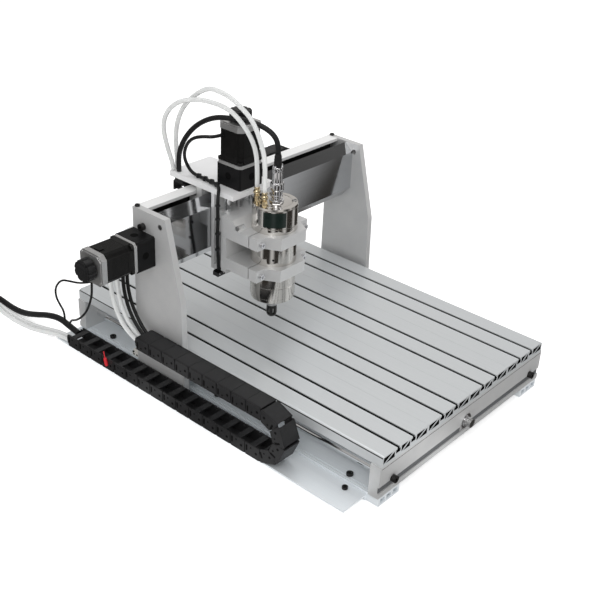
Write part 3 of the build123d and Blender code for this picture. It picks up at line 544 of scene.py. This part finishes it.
def cord(
    name, points, diameter, mat, body,
    replaced=(),
):
    """A cord that rides on one body, as a bevelled curve."""
    curve = spline_curve(name, points)
    line = route_points(curve)
    curve.data.bevel_depth = diameter / 2000
    curve.data.bevel_resolution = 5
    curve.data.use_fill_caps = True
    curve.data.materials.append(mat)
    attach(curve, body)
    if replaced:
        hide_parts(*replaced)


def tube_mesh(name, line, radius, mat, sides=16):
    """A round mesh tube along points, with closed ends."""
    bm = bmesh.new()
    rings = []
    normal = Vector((0.123, 0.456, 0.881))
    for index, point in enumerate(line):
        ahead = line[min(index + 1, len(line) - 1)] - line[max(index - 1, 0)]
        ahead.normalize()
        normal = (normal - ahead * normal.dot(ahead)).normalized()
        across = ahead.cross(normal)
        rings.append([
            bm.verts.new(point + (normal * math.cos(a) + across * math.sin(a)) * radius)
            for a in (2 * math.pi * k / sides for k in range(sides))
        ])
    for low, high in zip(rings, rings[1:]):
        for k in range(sides):
            bm.faces.new((low[k], low[(k + 1) % sides], high[(k + 1) % sides], high[k]))
    bm.faces.new(rings[0][::-1])
    bm.faces.new(rings[-1])
    mesh = bpy.data.meshes.new(name)
    bm.to_mesh(mesh)
    bm.free()
    for face in mesh.polygons:
        face.use_smooth = len(face.vertices) == 4
    mesh.materials.append(mat)
    obj = bpy.data.objects.new(name, mesh)
    bpy.context.scene.collection.objects.link(obj)
    return obj


def moving_cord(
    name, points, diameter, mat,
    replaced=(),
):
    """A cord between two bodies, as a mesh tube along its route."""
    guide = spline_curve(name + "_route", points)
    line = route_points(guide)
    bpy.data.objects.remove(guide)
    tube = tube_mesh(name, line, diameter / 2000, mat)
    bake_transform(tube)
    if replaced:
        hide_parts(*replaced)


moving_cord(
    "water_hose_front",
    (
        (-106, 402, 378), (-106, 402, 418), (-110, 406, 452), (-120, 417, 481), (-126, 440, 503),
        (-128, 465, 509), (-130, 488, 510), (-132, 513, 509), (-137, 546, 501), (-141, 568, 489),
        (-143, 586, 470), (-143, 595, 448), (-142, 594, 425), (-139, 586, 395), (-137.5, 579, 378),
        (-137, 577, 364.6),
    ),
    8, HOSE,
    ("water_hoses",),
)
moving_cord(
    "water_hose_back",
    (
        (-115, 376, 378), (-115, 376, 420), (-115, 379, 444), (-116, 392, 476), (-117, 409, 500),
        (-119, 431, 514), (-120, 451, 524), (-121, 476, 529), (-123, 498, 530), (-123, 519, 521),
        (-125, 541, 504), (-127, 560, 484), (-128, 573, 459), (-128, 580, 430), (-128, 579, 401),
        (-128, 577, 380), (-128, 577, 364.6),
    ),
    8, HOSE,
)
moving_cord(
    "spindle_cable_run",
    (
        (-93, 368, 444), (-93, 368, 462), (-96, 380, 478), (-104, 403, 488), (-109, 428, 490),
        (-119.5, 452, 489), (-124, 480, 485), (-129, 505, 474), (-134, 527, 457), (-138, 545, 434),
        (-138, 558, 410), (-135, 566, 388), (-133, 567, 364.5),
    ),
    9, CABLE,
    ("spindle_cable",),
)
cord(
    "carriage_loom",
    (
        (-120.2, 472, 455), (-138, 472, 455), (-150, 488, 455), (-153, 510, 447), (-150, 529, 429),
        (-145, 541, 406),
        (-136, 545, 386), (-130, 537, 369), (-129, 516, 367.5), (-131, 495, 368), (-134, 474, 369),
        (-142, 457, 371),
        (-154, 447, 361), (-158, 444, 341), (-158, 443, 318), (-159, 443, 294), (-158, 444, 270),
        (-154, 446, 247),
        (-152, 447, 219.3),
    ),
    6, CABLE, "x_carriage", ("carriage_cables",),
)
gantry_routes = (
    ("gantry_line_1", 6.5, CABLE, (
        (-200.4, 553.6, 280.6), (-221, 553.6, 280.8), (-243, 553.7, 278.5), (-261, 553.8, 265),
        (-268, 554, 243),
        (-269, 556, 220), (-269.5, 556, 196), (-270, 551, 171), (-270.5, 540, 147), (-271, 522, 124),
        (-271, 500.8, 107.3),
    )),
    ("gantry_line_2", 6.5, CABLE, (
        (-200.4, 553.6, 287.4), (-224, 553.6, 287.6), (-249, 553.7, 286), (-270, 553.8, 271),
        (-276.5, 554, 246),
        (-277.5, 557, 220), (-278, 557, 193), (-278, 552, 168), (-278.3, 541, 144),
        (-278.5, 523, 122), (-278.5, 500.8, 107.3),
    )),
    ("gantry_hose_1", 8, HOSE, (
        (-200.4, 562.5, 284), (-225, 562.5, 284.5), (-252, 562.6, 284), (-275, 563, 270), (-285, 563, 245),
        (-286, 564, 218), (-286.5, 563, 190), (-286.5, 557, 163), (-286.5, 545, 138),
        (-286.5, 525, 118), (-286.5, 500.8, 107.3),
    )),
    ("gantry_hose_2", 8, HOSE, (
        (-200.4, 571.5, 284), (-226, 571.5, 285), (-256, 571.6, 285), (-281, 572, 270), (-293, 572, 243),
        (-294.5, 572, 215), (-295, 570, 186), (-295, 563, 158), (-295, 549, 133), (-295, 527, 115),
        (-295, 500.8, 107.3),
    )),
)
for name, diameter, mat, points in gantry_routes:
    cord(
        name, points, diameter, mat, "gantry",
        ("gantry_lines",),
    )
moving_cord(
    "x_motor_wire",
    (
        (-367, 528, 248.3), (-367, 528, 222), (-364, 541, 195), (-356, 561, 170), (-346, 586, 146),
        (-334, 614, 123),
        (-320, 643, 102), (-305, 671, 83), (-291, 698, 66), (-281, 716, 52), (-276, 727, 40.8),
    ),
    4, CABLE,
    ("x_motor_lead",),
)


COIL_X, COIL_Y = -343, 1005  # centre of the put-away coil
COIL_CLEARANCE = 0.25  # between one turn and the next


def coil_turns(radius, turns, diameter, lift, steps=14):
    """Points of a neat round coil, its turns one diameter and a clearance apart in height."""
    count = int(turns * steps)
    points = []
    for k in range(1, count + 1):
        angle = 2 * math.pi * k / steps
        height = lift + (diameter + COIL_CLEARANCE) * k / steps
        points.append((COIL_X + radius * math.cos(angle), COIL_Y + radius * math.sin(angle), height))
    return points


def line_end(name, line, profile, mat, slot):
    """A turned connector on the last point of a cord's line, given in metres."""
    tail = (line[-1] - line[-3]).normalized()
    turn = tail.to_track_quat("Z", "Y").to_matrix().to_4x4()
    piece = Shape(Matrix.Translation((line[-1] - ORIGIN) * 1000) @ turn)
    piece.turned(profile, mat, sides=32)
    return piece.done(name, "base", slot, 0.3)


def coiled_cord(name, points, diameter, mat, end_profile, end_mat, end_slot, replaced=()):
    """A cord with a coil, on the base, and a turned connector on its free end."""
    guide = spline_curve(name + "_guide", points)
    line = route_points(guide)
    bpy.data.objects.remove(guide)
    end = line_end(name + "_end", line, end_profile, end_mat, end_slot)
    cord(name, points, diameter, mat, "base", replaced)


coiled_cord(
    "outlet_loom",
    [
        (-275.5, 701.5, 28.6), (-275, 731, 33), (-273, 762, 36), (-277, 795, 31), (-283, 829, 20),
        (-286, 863, 10),
        (-287, 898, 6.2), (-285, 932, 6.2), (-283, 970, 6.2),
    ] + coil_turns(60, 2.7, 12, 6.2),
    12, CABLE,
    (
        (6.1, -4), (7.4, -2), (7.4, 10), (8.2, 11), (8.2, 15), (7.6, 16), (7.6, 24), (8.4, 25),
        (8.4, 33), (7.2, 34), (7.2, 36), (0, 36),
    ),
    BRIGHT, "bolt_chrome", ("outlet_lines", "outlet_coil"),
)
coiled_cord(
    "outlet_hose_1",
    [
        (-286.3, 701.5, 20.2), (-287, 733, 20), (-291, 767, 14.5), (-295, 801, 8), (-298, 835, 4.2),
        (-300, 869, 4.2),
        (-299, 903, 4.2), (-296, 930, 4.2), (-294.5, 962, 4.2),
    ] + coil_turns(48.5, 3.3, 8, 4.2),
    8, HOSE,
    ((4.1, -3), (5.0, -2), (5.0, 4), (5.6, 5), (5.6, 11), (4.0, 12), (4.0, 20), (3.0, 21), (0, 21)),
    BRASS, "brass_fitting",
)
coiled_cord(
    "outlet_hose_2",
    [
        (-294.8, 701.5, 20.2), (-296, 734, 19.5), (-301, 768, 13), (-306, 802, 7), (-309, 836, 4.2),
        (-311, 870, 4.2),
        (-309, 902, 4.2), (-305, 926, 4.2), (-303, 958, 4.2),
    ] + coil_turns(40, 4.3, 8, 4.2),
    8, HOSE,
    ((4.1, -3), (5.0, -2), (5.0, 4), (5.6, 5), (5.6, 11), (4.0, 12), (4.0, 20), (3.0, 21), (0, 21)),
    BRASS, "brass_fitting",
)
cord(
    "y_motor_wire",
    (
        (-28.7, 812, 43), (-62, 812, 43), (-98, 808, 48), (-133, 799, 57), (-167, 787, 68), (-199, 773, 82),
        (-228, 760, 98), (-253, 751, 115), (-275, 746, 128), (-290, 745, 118), (-290, 745, 97),
        (-282, 745, 76),
        (-274, 745, 58), (-274, 745, 41.6),
    ),
    4, CABLE, "base",
)


# ---------------------------------------------------------------------------
# Stepper motors and hand knobs. Local Z runs away from the machine.
# ---------------------------------------------------------------------------
def chamfered(side, cut):
    """A square outline with cut corners."""
    h = side / 2
    return [
        (h - cut, -h), (h, -h + cut), (h, h - cut), (h - cut, h),
        (-h + cut, h), (-h, h - cut), (-h, -h + cut), (-h + cut, -h),
    ]


def hexagon(cx, cy, radius, turn=0):
    """A hexagon's corners, turned by some degrees."""
    angles = [math.radians(60 * k + turn) for k in range(6)]
    return [(cx + radius * math.cos(a), cy + radius * math.sin(a)) for a in angles]


def notched(side, cut, step):
    """A square outline whose corners step in, as on a motor's corner screws."""
    h = side / 2
    corner = [
        (h, h - cut), (h - step, h - cut + step * 0.4), (h - cut + step * 0.4, h - step),
        (h - cut, h),
    ]
    outline = []
    for k in range(4):
        c, s = math.cos(k * math.pi / 2), math.sin(k * math.pi / 2)
        outline += [(c * x - s * y, s * x + c * y) for x, y in corner]
    return outline


MOTOR_SIDE = 57
HOUSING_END = 38.6
STACK_START = 58.7  # the thin laminations behind the front end bell
LAMINATIONS = 12
LAMINATION_PITCH = 2.7
LAMINATION_THICKNESS = 2.45
KNOB_R = 19.6
KNOB_LOBES = 8
LOBE_DEPTH = 2.6


def motor_pieces(axis, origin, direction, side, body, drive):
    """A spacer housing and a motor on one body, and the hand knob on the shaft's far end."""
    z = Vector(direction)
    x = Vector(side)
    place = Matrix((x, z.cross(x), z)).transposed().to_4x4()
    place.translation = Vector(origin)
    housing = Shape(place)
    housing.prism(chamfered(MOTOR_SIDE, 2.5), 0, HOUSING_END, BLACK)
    # painted shade: a dark face in the gap at the housing's end and dark discs in its side screw holes
    housing.prism(chamfered(49, 1), HOUSING_END, 38.95, RECESS_SHADE)
    for sx, sy in ((0, 1), (1, 0), (0, -1), (-1, 0)):
        centre = (sx * 28.4, sy * 28.4, 21)
        housing.turned(
            ((6.6, 0), (6.6, 0.45), (5.6, 0.5), (5.2, 0.2), (0, 0.16)), RECESS_SHADE, centre, (sx, sy, 0), 32,
        )
    housing.done(axis + "_housing_shell", body, "motor_black", 0.5, (axis + "_motor_housing",))
    motor = Shape(place)
    motor.prism(chamfered(MOTOR_SIDE, 5), 39, 45, CAST)
    # painted shade: dark necks in the gaps between the end bells and the stack, and between the laminations
    motor.prism(chamfered(45, 6), 45, 46.2, RECESS_SHADE)
    motor.prism(notched(56, 9, 1.6), 46.2, 58, LAMINATE)
    motor.prism(notched(55.4, 9, 1.6), 58, STACK_START, RECESS_SHADE)
    for k in range(LAMINATIONS):
        low = STACK_START + k * LAMINATION_PITCH
        motor.prism(notched(56, 9, 1.6), low, low + LAMINATION_THICKNESS, LAMINATE)
        motor.prism(notched(55.7, 9, 1.6), low + LAMINATION_THICKNESS, low + LAMINATION_PITCH, RECESS_SHADE)
    motor.prism(notched(56, 9, 1.6), 91.1, 101.6, LAMINATE)
    motor.prism(chamfered(50, 8), 101.6, 102.4, RECESS_SHADE)
    motor.prism(chamfered(56.6, 8), 102.4, 112.6, CAST)
    motor.prism(chamfered(50, 8), 112.6, 114, CAST)
    for sx in (-1, 1):
        for sy in (-1, 1):
            corner = (sx * 23.6, sy * 23.6, 0)
            motor.turned(
                ((4.3, 45), (4.3, 49.6), (3.9, 50), (2.4, 50), (2.2, 48), (0, 48)), OXIDE, corner,
                sides=24,
            )
            motor.turned(
                ((3.0, 112.4), (3.0, 113.2), (2.6, 113.5), (1.5, 113.5), (1.4, 112.8), (0, 112.8)),
                CAST, (sx * 22, sy * 22, 0), sides=20,
            )
    motor.turned(((12, 113.9), (12, 114.25), (5, 114.3)), CAST, sides=40)
    motor.prism([(-7, -29.6), (7, -29.6), (7, -27), (-7, -27)], 90, 100, BLACK)
    motor.done(axis + "_motor_body", body, "motor_black", 0.35, (axis + "_motor",))
    knob = Shape(place)
    lobes = []
    for k in range(96):
        a = 2 * math.pi * k / 96
        reach = KNOB_R - LOBE_DEPTH * max(0.0, math.cos(KNOB_LOBES * a)) ** 3
        lobes.append((reach * math.cos(a), reach * math.sin(a)))
    knob.prism(lobes, 116.2, 131.6, KNOB)
    knob.prism([(u * 0.93, v * 0.93) for u, v in lobes], 131.6, 133.2, KNOB)
    knob.turned(((9, 114.4), (9, 116.4)), KNOB)
    knob.turned(((12.5, 132.8), (12.5, 133.9), (11.6, 134), (4.0, 134), (3.6, 133.4), (0, 133.4)), KNOB)
    knob.turned(((1.7, 122), (1.7, 124)), STEEL, (0, 0, 0), sides=12)
    knob.done(axis + "_hand_knob", drive, "knob_black", 0.5, (axis + "_knob",))


motor_pieces("x", (-262, 516, 277), (-1, 0, 0), (0, 1, 0), "gantry", "x_drive")
motor_pieces("y", (0, BED_LENGTH, Y_SCREW_Z), (0, 1, 0), (1, 0, 0), "base", "y_drive")
motor_pieces("z", (-92, 457, 364), (0, 0, 1), (1, 0, 0), "x_carriage", "z_drive")


# ---------------------------------------------------------------------------
# Drag chains
# ---------------------------------------------------------------------------
def chain_piece(shape, centre, along, outward, pitch_in, pitch_out, width, height, lid):
    """One link: side plates, a lid on the outward side and a rung on the inward side."""
    x = Vector(along)
    z = Vector(outward)
    shape.place = Matrix((x, z.cross(x), z)).transposed().to_4x4()
    shape.place.translation = Vector(centre)
    h = height / 2
    w = width / 2
    a = pitch_in / 2 - 0.9
    b = pitch_out / 2 - 0.9
    m = (a + b) / 2
    for side in (-1, 1):
        outer = side * (w - 0.05)
        inner = side * (w - 2.3)
        low, high = min(outer, inner), max(outer, inner)
        shape.prism(
            [
                (-a, -h), (a, -h), (m, -h * 0.2), (b, h * 0.45), (b - 1.2, h), (-b + 1.2, h),
                (-b, h * 0.45), (-m, -h * 0.2),
            ],
            low, high, CHAIN, "y",
        )
        back = side * (w - 3.7)
        low, high = min(inner, back), max(inner, back)
        reach = m + height * 0.26
        shape.prism(
            [
                (m - 4, -h * 0.72), (reach - 2, -h * 0.72), (reach, 0), (reach - 2, h * 0.72),
                (m - 4, h * 0.72),
            ],
            low, high, CHAIN, "y",
        )
        # painted shade: dark discs in the pin holes and a dark strip in the gap beside the side plate
        for px, pz, size in ((-m * 0.55, h * 0.05, 0.10), (m * 0.2, -h * 0.45, 0.07)):
            shape.turned(
                ((height * size, 0), (height * size, 0.1), (0, 0.1)), RECESS_SHADE,
                (px, side * (w - 0.08), pz), (0, side, 0), 16,
            )
        low, high = sorted((side * (w - 0.1), side * w))
        shape.box((m - 5.2, m - 1.6), (low, high), (-h * 0.66, h * 0.3), RECESS_SHADE)
    shape.box((-lid / 2, lid / 2), (-w + 1.2, w - 1.2), (h - 2, h), CHAIN)
    shape.box((-lid / 2 + 3, lid / 2 - 3), (-w + 4, w - 4), (h - 0.4, h + 0.05), CHAIN)
    shape.box((-pitch_in * 0.17, pitch_in * 0.17), (-w + 2.2, w - 2.2), (-h + 0.2, -h + 2.4), CHAIN)
    shape.box((-pitch_in * 0.10, pitch_in * 0.10), (-w + 2.2, w - 2.2), (-h + 2.4, -h + 4.2), CHAIN)


def straight_chain(axis, start, count, pitch, cross, z, outward, width, height, extra=None):
    """A straight run along x or y; extra is the box of its end bracket."""
    shape = Shape()
    for k in range(count):
        place = start + (k + 0.5) * pitch
        centre = (cross, place, z) if axis == "y" else (place, cross, z)
        along = (0, 1, 0) if axis == "y" else (1, 0, 0)
        chain_piece(shape, centre, along, outward, pitch, pitch, width, height, pitch - 0.7)
    shape.place = Matrix.Identity(4)
    if extra:
        shape.box(*extra, CHAIN)
    return shape


def bent_chain(name, centre, outward, across, radius, width, height, body, node, count=4):
    """The half circle of links between two runs."""
    shape = Shape()
    step = math.pi / count
    middle = radius * math.cos(step / 2)
    for k in range(count):
        angle = -math.pi / 2 + (k + 0.5) * step
        radial = Vector(outward) * math.cos(angle) + Vector((0, 0, math.sin(angle)))
        tangent = Vector(across).cross(radial)
        inner = 2 * (middle - height / 2) * math.tan(step / 2)
        outer = 2 * (middle + height / 2) * math.tan(step / 2)
        chain_piece(
            shape, Vector(centre) + radial * middle, tangent, radial, inner, outer - 2, width, height,
            outer - 8,
        )
    shape.done(name, body, "chain_black", 0, (node,))


down, up = (0, 0, -1), (0, 0, 1)
Y_PITCH, Y_WIDTH, Y_HEIGHT, Y_BEND = 33.5, 37, 24, 41
Y_CHAIN_X, Y_UPPER_Z, Y_LOWER_Z = -283, 107.3, 25.3
Y_BEND_START = 199
X_PITCH, X_WIDTH, X_HEIGHT, X_BEND = 20.5, 30, 18, 26
X_CHAIN_Y, X_UPPER_Z, X_LOWER_Z = 563, 336.3, 284.3
y_bracket = ((-267, -262.05), (480.5, 500.3), (95.5, 107))
x_bracket = ((-138, -121), (553, 573), (344, 353.8))

y_upper = straight_chain(
    "y", Y_BEND_START, 9, Y_PITCH, Y_CHAIN_X, Y_UPPER_Z, up, Y_WIDTH, Y_HEIGHT, y_bracket,
).done("y_chain_top_run", None, "chain_black", 0, ("y_chain_upper",))
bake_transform(y_upper)
y_lower = straight_chain(
    "y", Y_BEND_START, 15, Y_PITCH, Y_CHAIN_X, Y_LOWER_Z, down, Y_WIDTH, Y_HEIGHT,
).done("y_chain_floor_run", None, "chain_black", 0, ("y_chain_lower",))
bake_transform(y_lower)
bent_chain(
    "y_chain_loop_links", (Y_CHAIN_X, Y_BEND_START, 66.3), (0, -1, 0), (1, 0, 0), Y_BEND, Y_WIDTH, Y_HEIGHT,
    "y_chain_loop", "y_chain_bend",
)
x_upper = straight_chain(
    "x", -138.5, 13, X_PITCH, X_CHAIN_Y, X_UPPER_Z, up, X_WIDTH, X_HEIGHT, x_bracket,
).done("x_chain_top_run", None, "chain_black", 0, ("x_chain_upper",))
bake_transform(x_upper)
x_lower = straight_chain(
    "x", -200, 16, X_PITCH, X_CHAIN_Y, X_LOWER_Z, down, X_WIDTH, X_HEIGHT,
).done("x_chain_floor_run", None, "chain_black", 0, ("x_chain_lower",))
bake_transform(x_lower)
bent_chain(
    "x_chain_loop_links", (128, X_CHAIN_Y, 310.3), (1, 0, 0), (0, 1, 0), X_BEND, X_WIDTH, X_HEIGHT,
    "x_chain_loop", "x_chain_bend",
)


# ---------------------------------------------------------------------------
# Spindle, fittings and collet
# ---------------------------------------------------------------------------
SX, SY = -92, 372  # the spindle's axis
barrel = Shape()
barrel.turned(
    (
        (24, 177), (37.2, 177), (38.4, 178.2), (38.4, 184), (39.8, 185.2), (39.9, 206), (39.5, 206.4),
        (39.5, 207), (39.9, 207.4),
        (39.9, 320.6), (39.4, 321), (39.4, 321.6), (39.9, 322), (39.9, 353.2), (39.4, 353.6),
        (39.4, 354.2), (39.8, 354.6), (38.8, 357.8),
        (30, 358), (29.6, 357.7), (29, 358), (0, 358),
    ),
    SPINDLE, (SX, SY, 0), sides=128,
)
barrel.turned(((16, 176.6), (23.8, 176.6), (24.4, 177.1), (24.4, 178)), OXIDE, (SX, SY, 0), sides=48)
barrel.turned(
    ((4.6, 357.8), (4.6, 358.9), (4.2, 359.2), (0, 359.2)), STEEL, (SX + 25, SY - 22, 0), sides=24,
)
# painted shade: dark slots in the screw heads
barrel.box((SX + 21, SX + 29), (SY - 22.7, SY - 21.3), (358.9, 359.28), RECESS_SHADE)
barrel.turned(
    ((4.6, 357.8), (4.6, 358.9), (4.2, 359.2), (0, 359.2)), STEEL, (SX + 20, SY + 26, 0), sides=24,
)
barrel.box((SX + 16, SX + 24), (SY + 25.3, SY + 26.7), (358.9, 359.28), RECESS_SHADE)
facing = math.radians(222)
out = Vector((math.cos(facing), math.sin(facing), 0))
# painted shade: a dark disc in the small hole on the barrel's side
barrel.turned(
    ((1.9, 0), (1.9, 0.35), (1.5, 0.35), (1.3, 0.1), (0, 0.1)), RECESS_SHADE,
    (SX + out.x * 39.8, SY + out.y * 39.8, 264), out, 20,
)
barrel.done("spindle_barrel", "z_carriage", "spindle_steel", 0, ("spindle_body",))
plate = Shape()
arc = [facing + math.radians(d) for d in range(-29, 30, 2)]
outline = [(SX + 40.12 * math.cos(a), SY + 40.12 * math.sin(a)) for a in arc]
outline += [(SX + 39.7 * math.cos(a), SY + 39.7 * math.sin(a)) for a in reversed(arc)]
plate.prism(outline, 324.5, 351.5, LABEL)
plate.done("blank_plate", "z_carriage", None, 0)

collet = Shape()
nut = []
for k in range(72):
    a = 2 * math.pi * k / 72
    dip = 1 if (k % 12) in (0, 1, 2) else 0
    nut.append((SX + (9.45 - 2.1 * dip) * math.cos(a), SY + (9.45 - 2.1 * dip) * math.sin(a)))
collet.prism(nut, 139, 151.5, OXIDE)
collet.turned(((3.3, 134), (5.6, 134), (7.6, 135.4), (9.3, 139.2)), OXIDE, (SX, SY, 0))
collet.turned(((9.3, 151.3), (9.3, 155.8), (8.6, 156), (7.6, 156)), OXIDE, (SX, SY, 0))
collet.turned(((3.2, 133.2), (5.2, 133.2), (5.5, 133.8), (5.5, 136)), STEEL, (SX, SY, 0))
# painted shade: a dark disc in the nut's bore and dark lines in its slots
collet.turned(((0, 133.5), (3.2, 133.5), (3.2, 134)), RECESS_SHADE, (SX, SY, 0))
for k in range(4):
    c, s = math.cos(k * math.pi / 2 + 0.4), math.sin(k * math.pi / 2 + 0.4)
    collet.turned(((0.35, 3.0), (0.35, 5.4)), RECESS_SHADE, (SX, SY, 133.15), (c, s, 0), 8)
collet.done("collet_nut_slotted", "spindle_rotor", "motor_black", 0.25, ("collet_nut",))

for name, (fx, fy) in (("front_barb", (-106, 402)), ("back_barb", (-115, 376))):
    barb = Shape()
    barb.prism(hexagon(fx, fy, 5.4), 358.05, 363.4, BRASS)
    barb.turned(
        (
            (3.8, 363), (3.8, 364.6), (4.8, 365.4), (6.0, 367), (6.5, 369.2), (6.0, 371.4),
            (4.8, 373), (4.0, 373.8), (4.0, 374.4),
            (5.0, 374.8), (5.2, 377.4), (4.6, 378.4), (2.6, 378.4), (2.6, 381),
        ),
        BRASS, (fx, fy, 0), sides=32,
    )
    barb.done("water_" + name, "z_carriage", "brass_fitting", 0.2, ("water_fittings",))

plug = Shape()
px, py = SX - 1, SY - 4
plug.prism(
    hexagon(px, py, 12.6, 10),
    358.05, 361.6, BRIGHT,
)
plug.turned(
    (
        (12.8, 361.4), (12.8, 362.6), (9.6, 363.2), (9.2, 367.5), (10.2, 368.2), (10.2, 371.5),
        (9.3, 372.2), (9.3, 379), (11.4, 380.6),
        (11.9, 382.2), (11.9, 391.5), (11.3, 393.2), (9.4, 394), (8.9, 396), (8.9, 411.5),
        (8.4, 412.4), (8.4, 415.5), (9.2, 416.2),
        (9.2, 420.6), (8.6, 421.6), (6.6, 421.8),
    ),
    BRIGHT, (px, py, 0), sides=64,
)
for k in range(16):
    a = 2 * math.pi * k / 16
    plug.box(
        (px + 11.5 * math.cos(a) - 0.5, px + 11.5 * math.cos(a) + 0.5),
        (py + 11.5 * math.sin(a) - 0.5, py + 11.5 * math.sin(a) + 0.5), (383, 390.6), BRIGHT,
    )
for side in (-1, 1):
    plug.box((px + side * 8.4 - 1.6, px + side * 8.4 + 1.6), (py - 2.6, py + 2.6), (412, 424.5), BRIGHT)
    plug.turned(
        ((1.8, 0), (1.8, 1.2), (1.3, 1.4), (0, 1.4)), STEEL, (px + side * 9.9, py, 419), (side, 0, 0),
        16,
    )
plug.turned(
    (
        (6.4, 420), (6.8, 424), (6.8, 430), (6.3, 431), (6.6, 434), (6.0, 436), (6.2, 439),
        (5.6, 441), (4.9, 444), (0, 444),
    ),
    CABLE, (px, py, 0), sides=32,
)
plug.done("spindle_plug", "z_carriage", "bolt_chrome", 0.15, ("cable_connector",))


# ---------------------------------------------------------------------------
# Small parts on the base and the carriage
# ---------------------------------------------------------------------------
blocks = Shape()
for k in range(3):
    low = 455 + 45 * k
    blocks.box((-239.4, -228.6), (low, low + 42), (17.05, 23.5), IVORY)
    blocks.box((-237.8, -230.2), (low + 0.5, low + 41.5), (23.5, 28.2), IVORY)
    for j in range(5):
        mid = low + 4.4 + 8.3 * j
        blocks.box((-237, -231), (mid - 2.6, mid + 2.6), (28.2, 30), IVORY)
        blocks.turned(((1.6, 0), (1.6, 0.2), (0, 0.2)), STEEL, (-234, mid, 29.9), (0, 0, 1), 16)
        # painted shade: dark ports in the blocks' side
        blocks.box((-239.5, -239.35), (mid - 1.8, mid + 1.8), (18.6, 22.4), RECESS_SHADE)
    for end in (low + 2, low + 40):
        blocks.turned(((2.2, 23.5), (2.2, 25.2), (1.8, 25.6), (0, 25.6)), OXIDE, (-238.2, end, 0), sides=16)
blocks.done("terminal_strip", "base", "connector_white", 0.3, ("terminal_blocks",))

switch = Shape()
switch.box((-159.6, -142.2), (440.4, 453.6), (209.2, 216.2), CHAIN)
# painted shade: a dark inset slab in the gap at the switch's top
switch.box((-158.8, -143), (441, 453), (216.2, 218.6), RECESS_SHADE)
for k in range(3):
    switch.box((-157 + 5 * k, -156.2 + 5 * k), (443, 447), (206.6, 209.3), STEEL)
for x in (-155.5, -146.5):
    switch.turned(((1.7, 0), (1.7, 0.9), (1.3, 1.2), (0, 1.2)), BRIGHT, (x, 440.4, 214), (0, -1, 0), 16)
switch.done("carriage_switch", "x_carriage", "chain_black", 0.25, ("z_limit_switch",))

ties = Shape()
for x, y, z in ((-129.3, 522, 367.9), (-130.2, 505, 368.1), (-132, 487, 368.6), (-135.5, 470, 369.4)):
    ties.turned(
        ((4.2, -1.3), (4.6, -1.2), (4.6, 1.2), (4.2, 1.3), (3.1, 1.2), (3.1, -1.2)), CHAIN, (x, y, z),
        (0.06, -1, 0.03), 20,
    )
    ties.box((x + 3.2, x + 6.2), (y - 2, y + 2), (z - 2.4, z + 2.4), CHAIN)
for z in (345, 320, 292, 262):
    ties.turned(
        ((4.3, -1.2), (4.5, -1.1), (4.5, 1.1), (4.3, 1.2), (3.1, 1.1), (3.1, -1.1)), CHAIN,
        (-158.1, 443.6, z), (0, 0, 1), 20,
    )
ties.done("cable_ties", "x_carriage", "chain_black", 0)

# painted shadow: thin dark panels just inside the ends of the four bed extrusions
PANEL_WIDTH = 120
ends = Shape()
for k in range(4):
    middle = (k - 1.5) * PANEL_WIDTH
    for low, high in ((-57.3, -28.6), (-11.4, 11.4), (28.6, 57.3)):
        ends.box((middle + low, middle + high), (1.2, 1.8), (81.6, 94.6), RECESS_SHADE)
        ends.box((middle + low, middle + high), (738.2, 738.8), (81.6, 94.6), RECESS_SHADE)
ends.done("extrusion_shadows", "base", None, 0)
# painted shade: grey strips in the grooves of the end beams' outer faces and a dark seam under the bed, where
# shade falls
bands = Shape()
for face, way in ((0, 1), (BED_LENGTH, -1)):
    y = sorted((face + way * 2.0, face + way * 3.05))
    bands.box((-241.5, -15), y, (27.1, 38.9), GROOVE_SHADE)
    bands.box((15, 241.5), y, (27.1, 38.9), GROOVE_SHADE)
    bands.box((-239, 239), sorted((face - way * 0.12, face + way * 0.3)), (72.6, 73.3), RECESS_SHADE)
bands.done("end_beam_shade_bands", "base", "frame_silver", 0)
nut = Shape()
nut.prism(
    hexagon(0, Y_SCREW_Z, 8.6),
    -6.5, -1.5, BRIGHT, "y",
)
nut.turned(((10.5, 0), (10.5, 1.2), (10, 1.5), (6.2, 1.5)), BRIGHT, (0, 0, Y_SCREW_Z), (0, -1, 0), 40)
nut.done("y_screw_lock_nut", "y_drive", "bolt_chrome", 0.3)
# plain holes with a bright rim, and painted shade: a dark disc at the bottom of each
for name, body, spot, way, size in (
    ("left_plate_hole", "gantry", (-262, 474, 327), (-1, 0, 0), 4.9),
    ("right_plate_hole", "gantry", (262, 474, 327), (1, 0, 0), 4.9),
    ("arm_hole", "z_carriage", (-155, 401, 315), (-1, 0, 0), 3.9),
):
    pit = Shape()
    inward = Vector(way) * -1
    pit.turned(((size, 1.0), (size, 2.0), (0, 2.0)), RECESS_SHADE, spot, inward, 32)
    pit.turned(((size, 0.0), (size, 0.9), (size - 0.5, 0.9), (size - 0.5, 0.3)), STEEL, spot, inward, 32)
    pit.done(name, body, None, 0)

# the red connector on a lead beside the chain
crimp = Shape()
crimp.turned(
    ((0, 0), (2.2, 0), (3.0, 1.5), (3.4, 9), (3.0, 15), (1.6, 16.5), (0, 16.5)), RED,
    (-304.2, 583, 23), (0, 0.25, 1), 24,
)
crimp.turned(((0, 0), (1.0, 0), (1.0, 12), (0, 12)), RED, (-304.2, 587, 39), (0.05, 0.3, 1), 12)
crimp.done("red_crimp", "base", None, 0)

# ---------------------------------------------------------------------------
# The end
# ---------------------------------------------------------------------------
import json
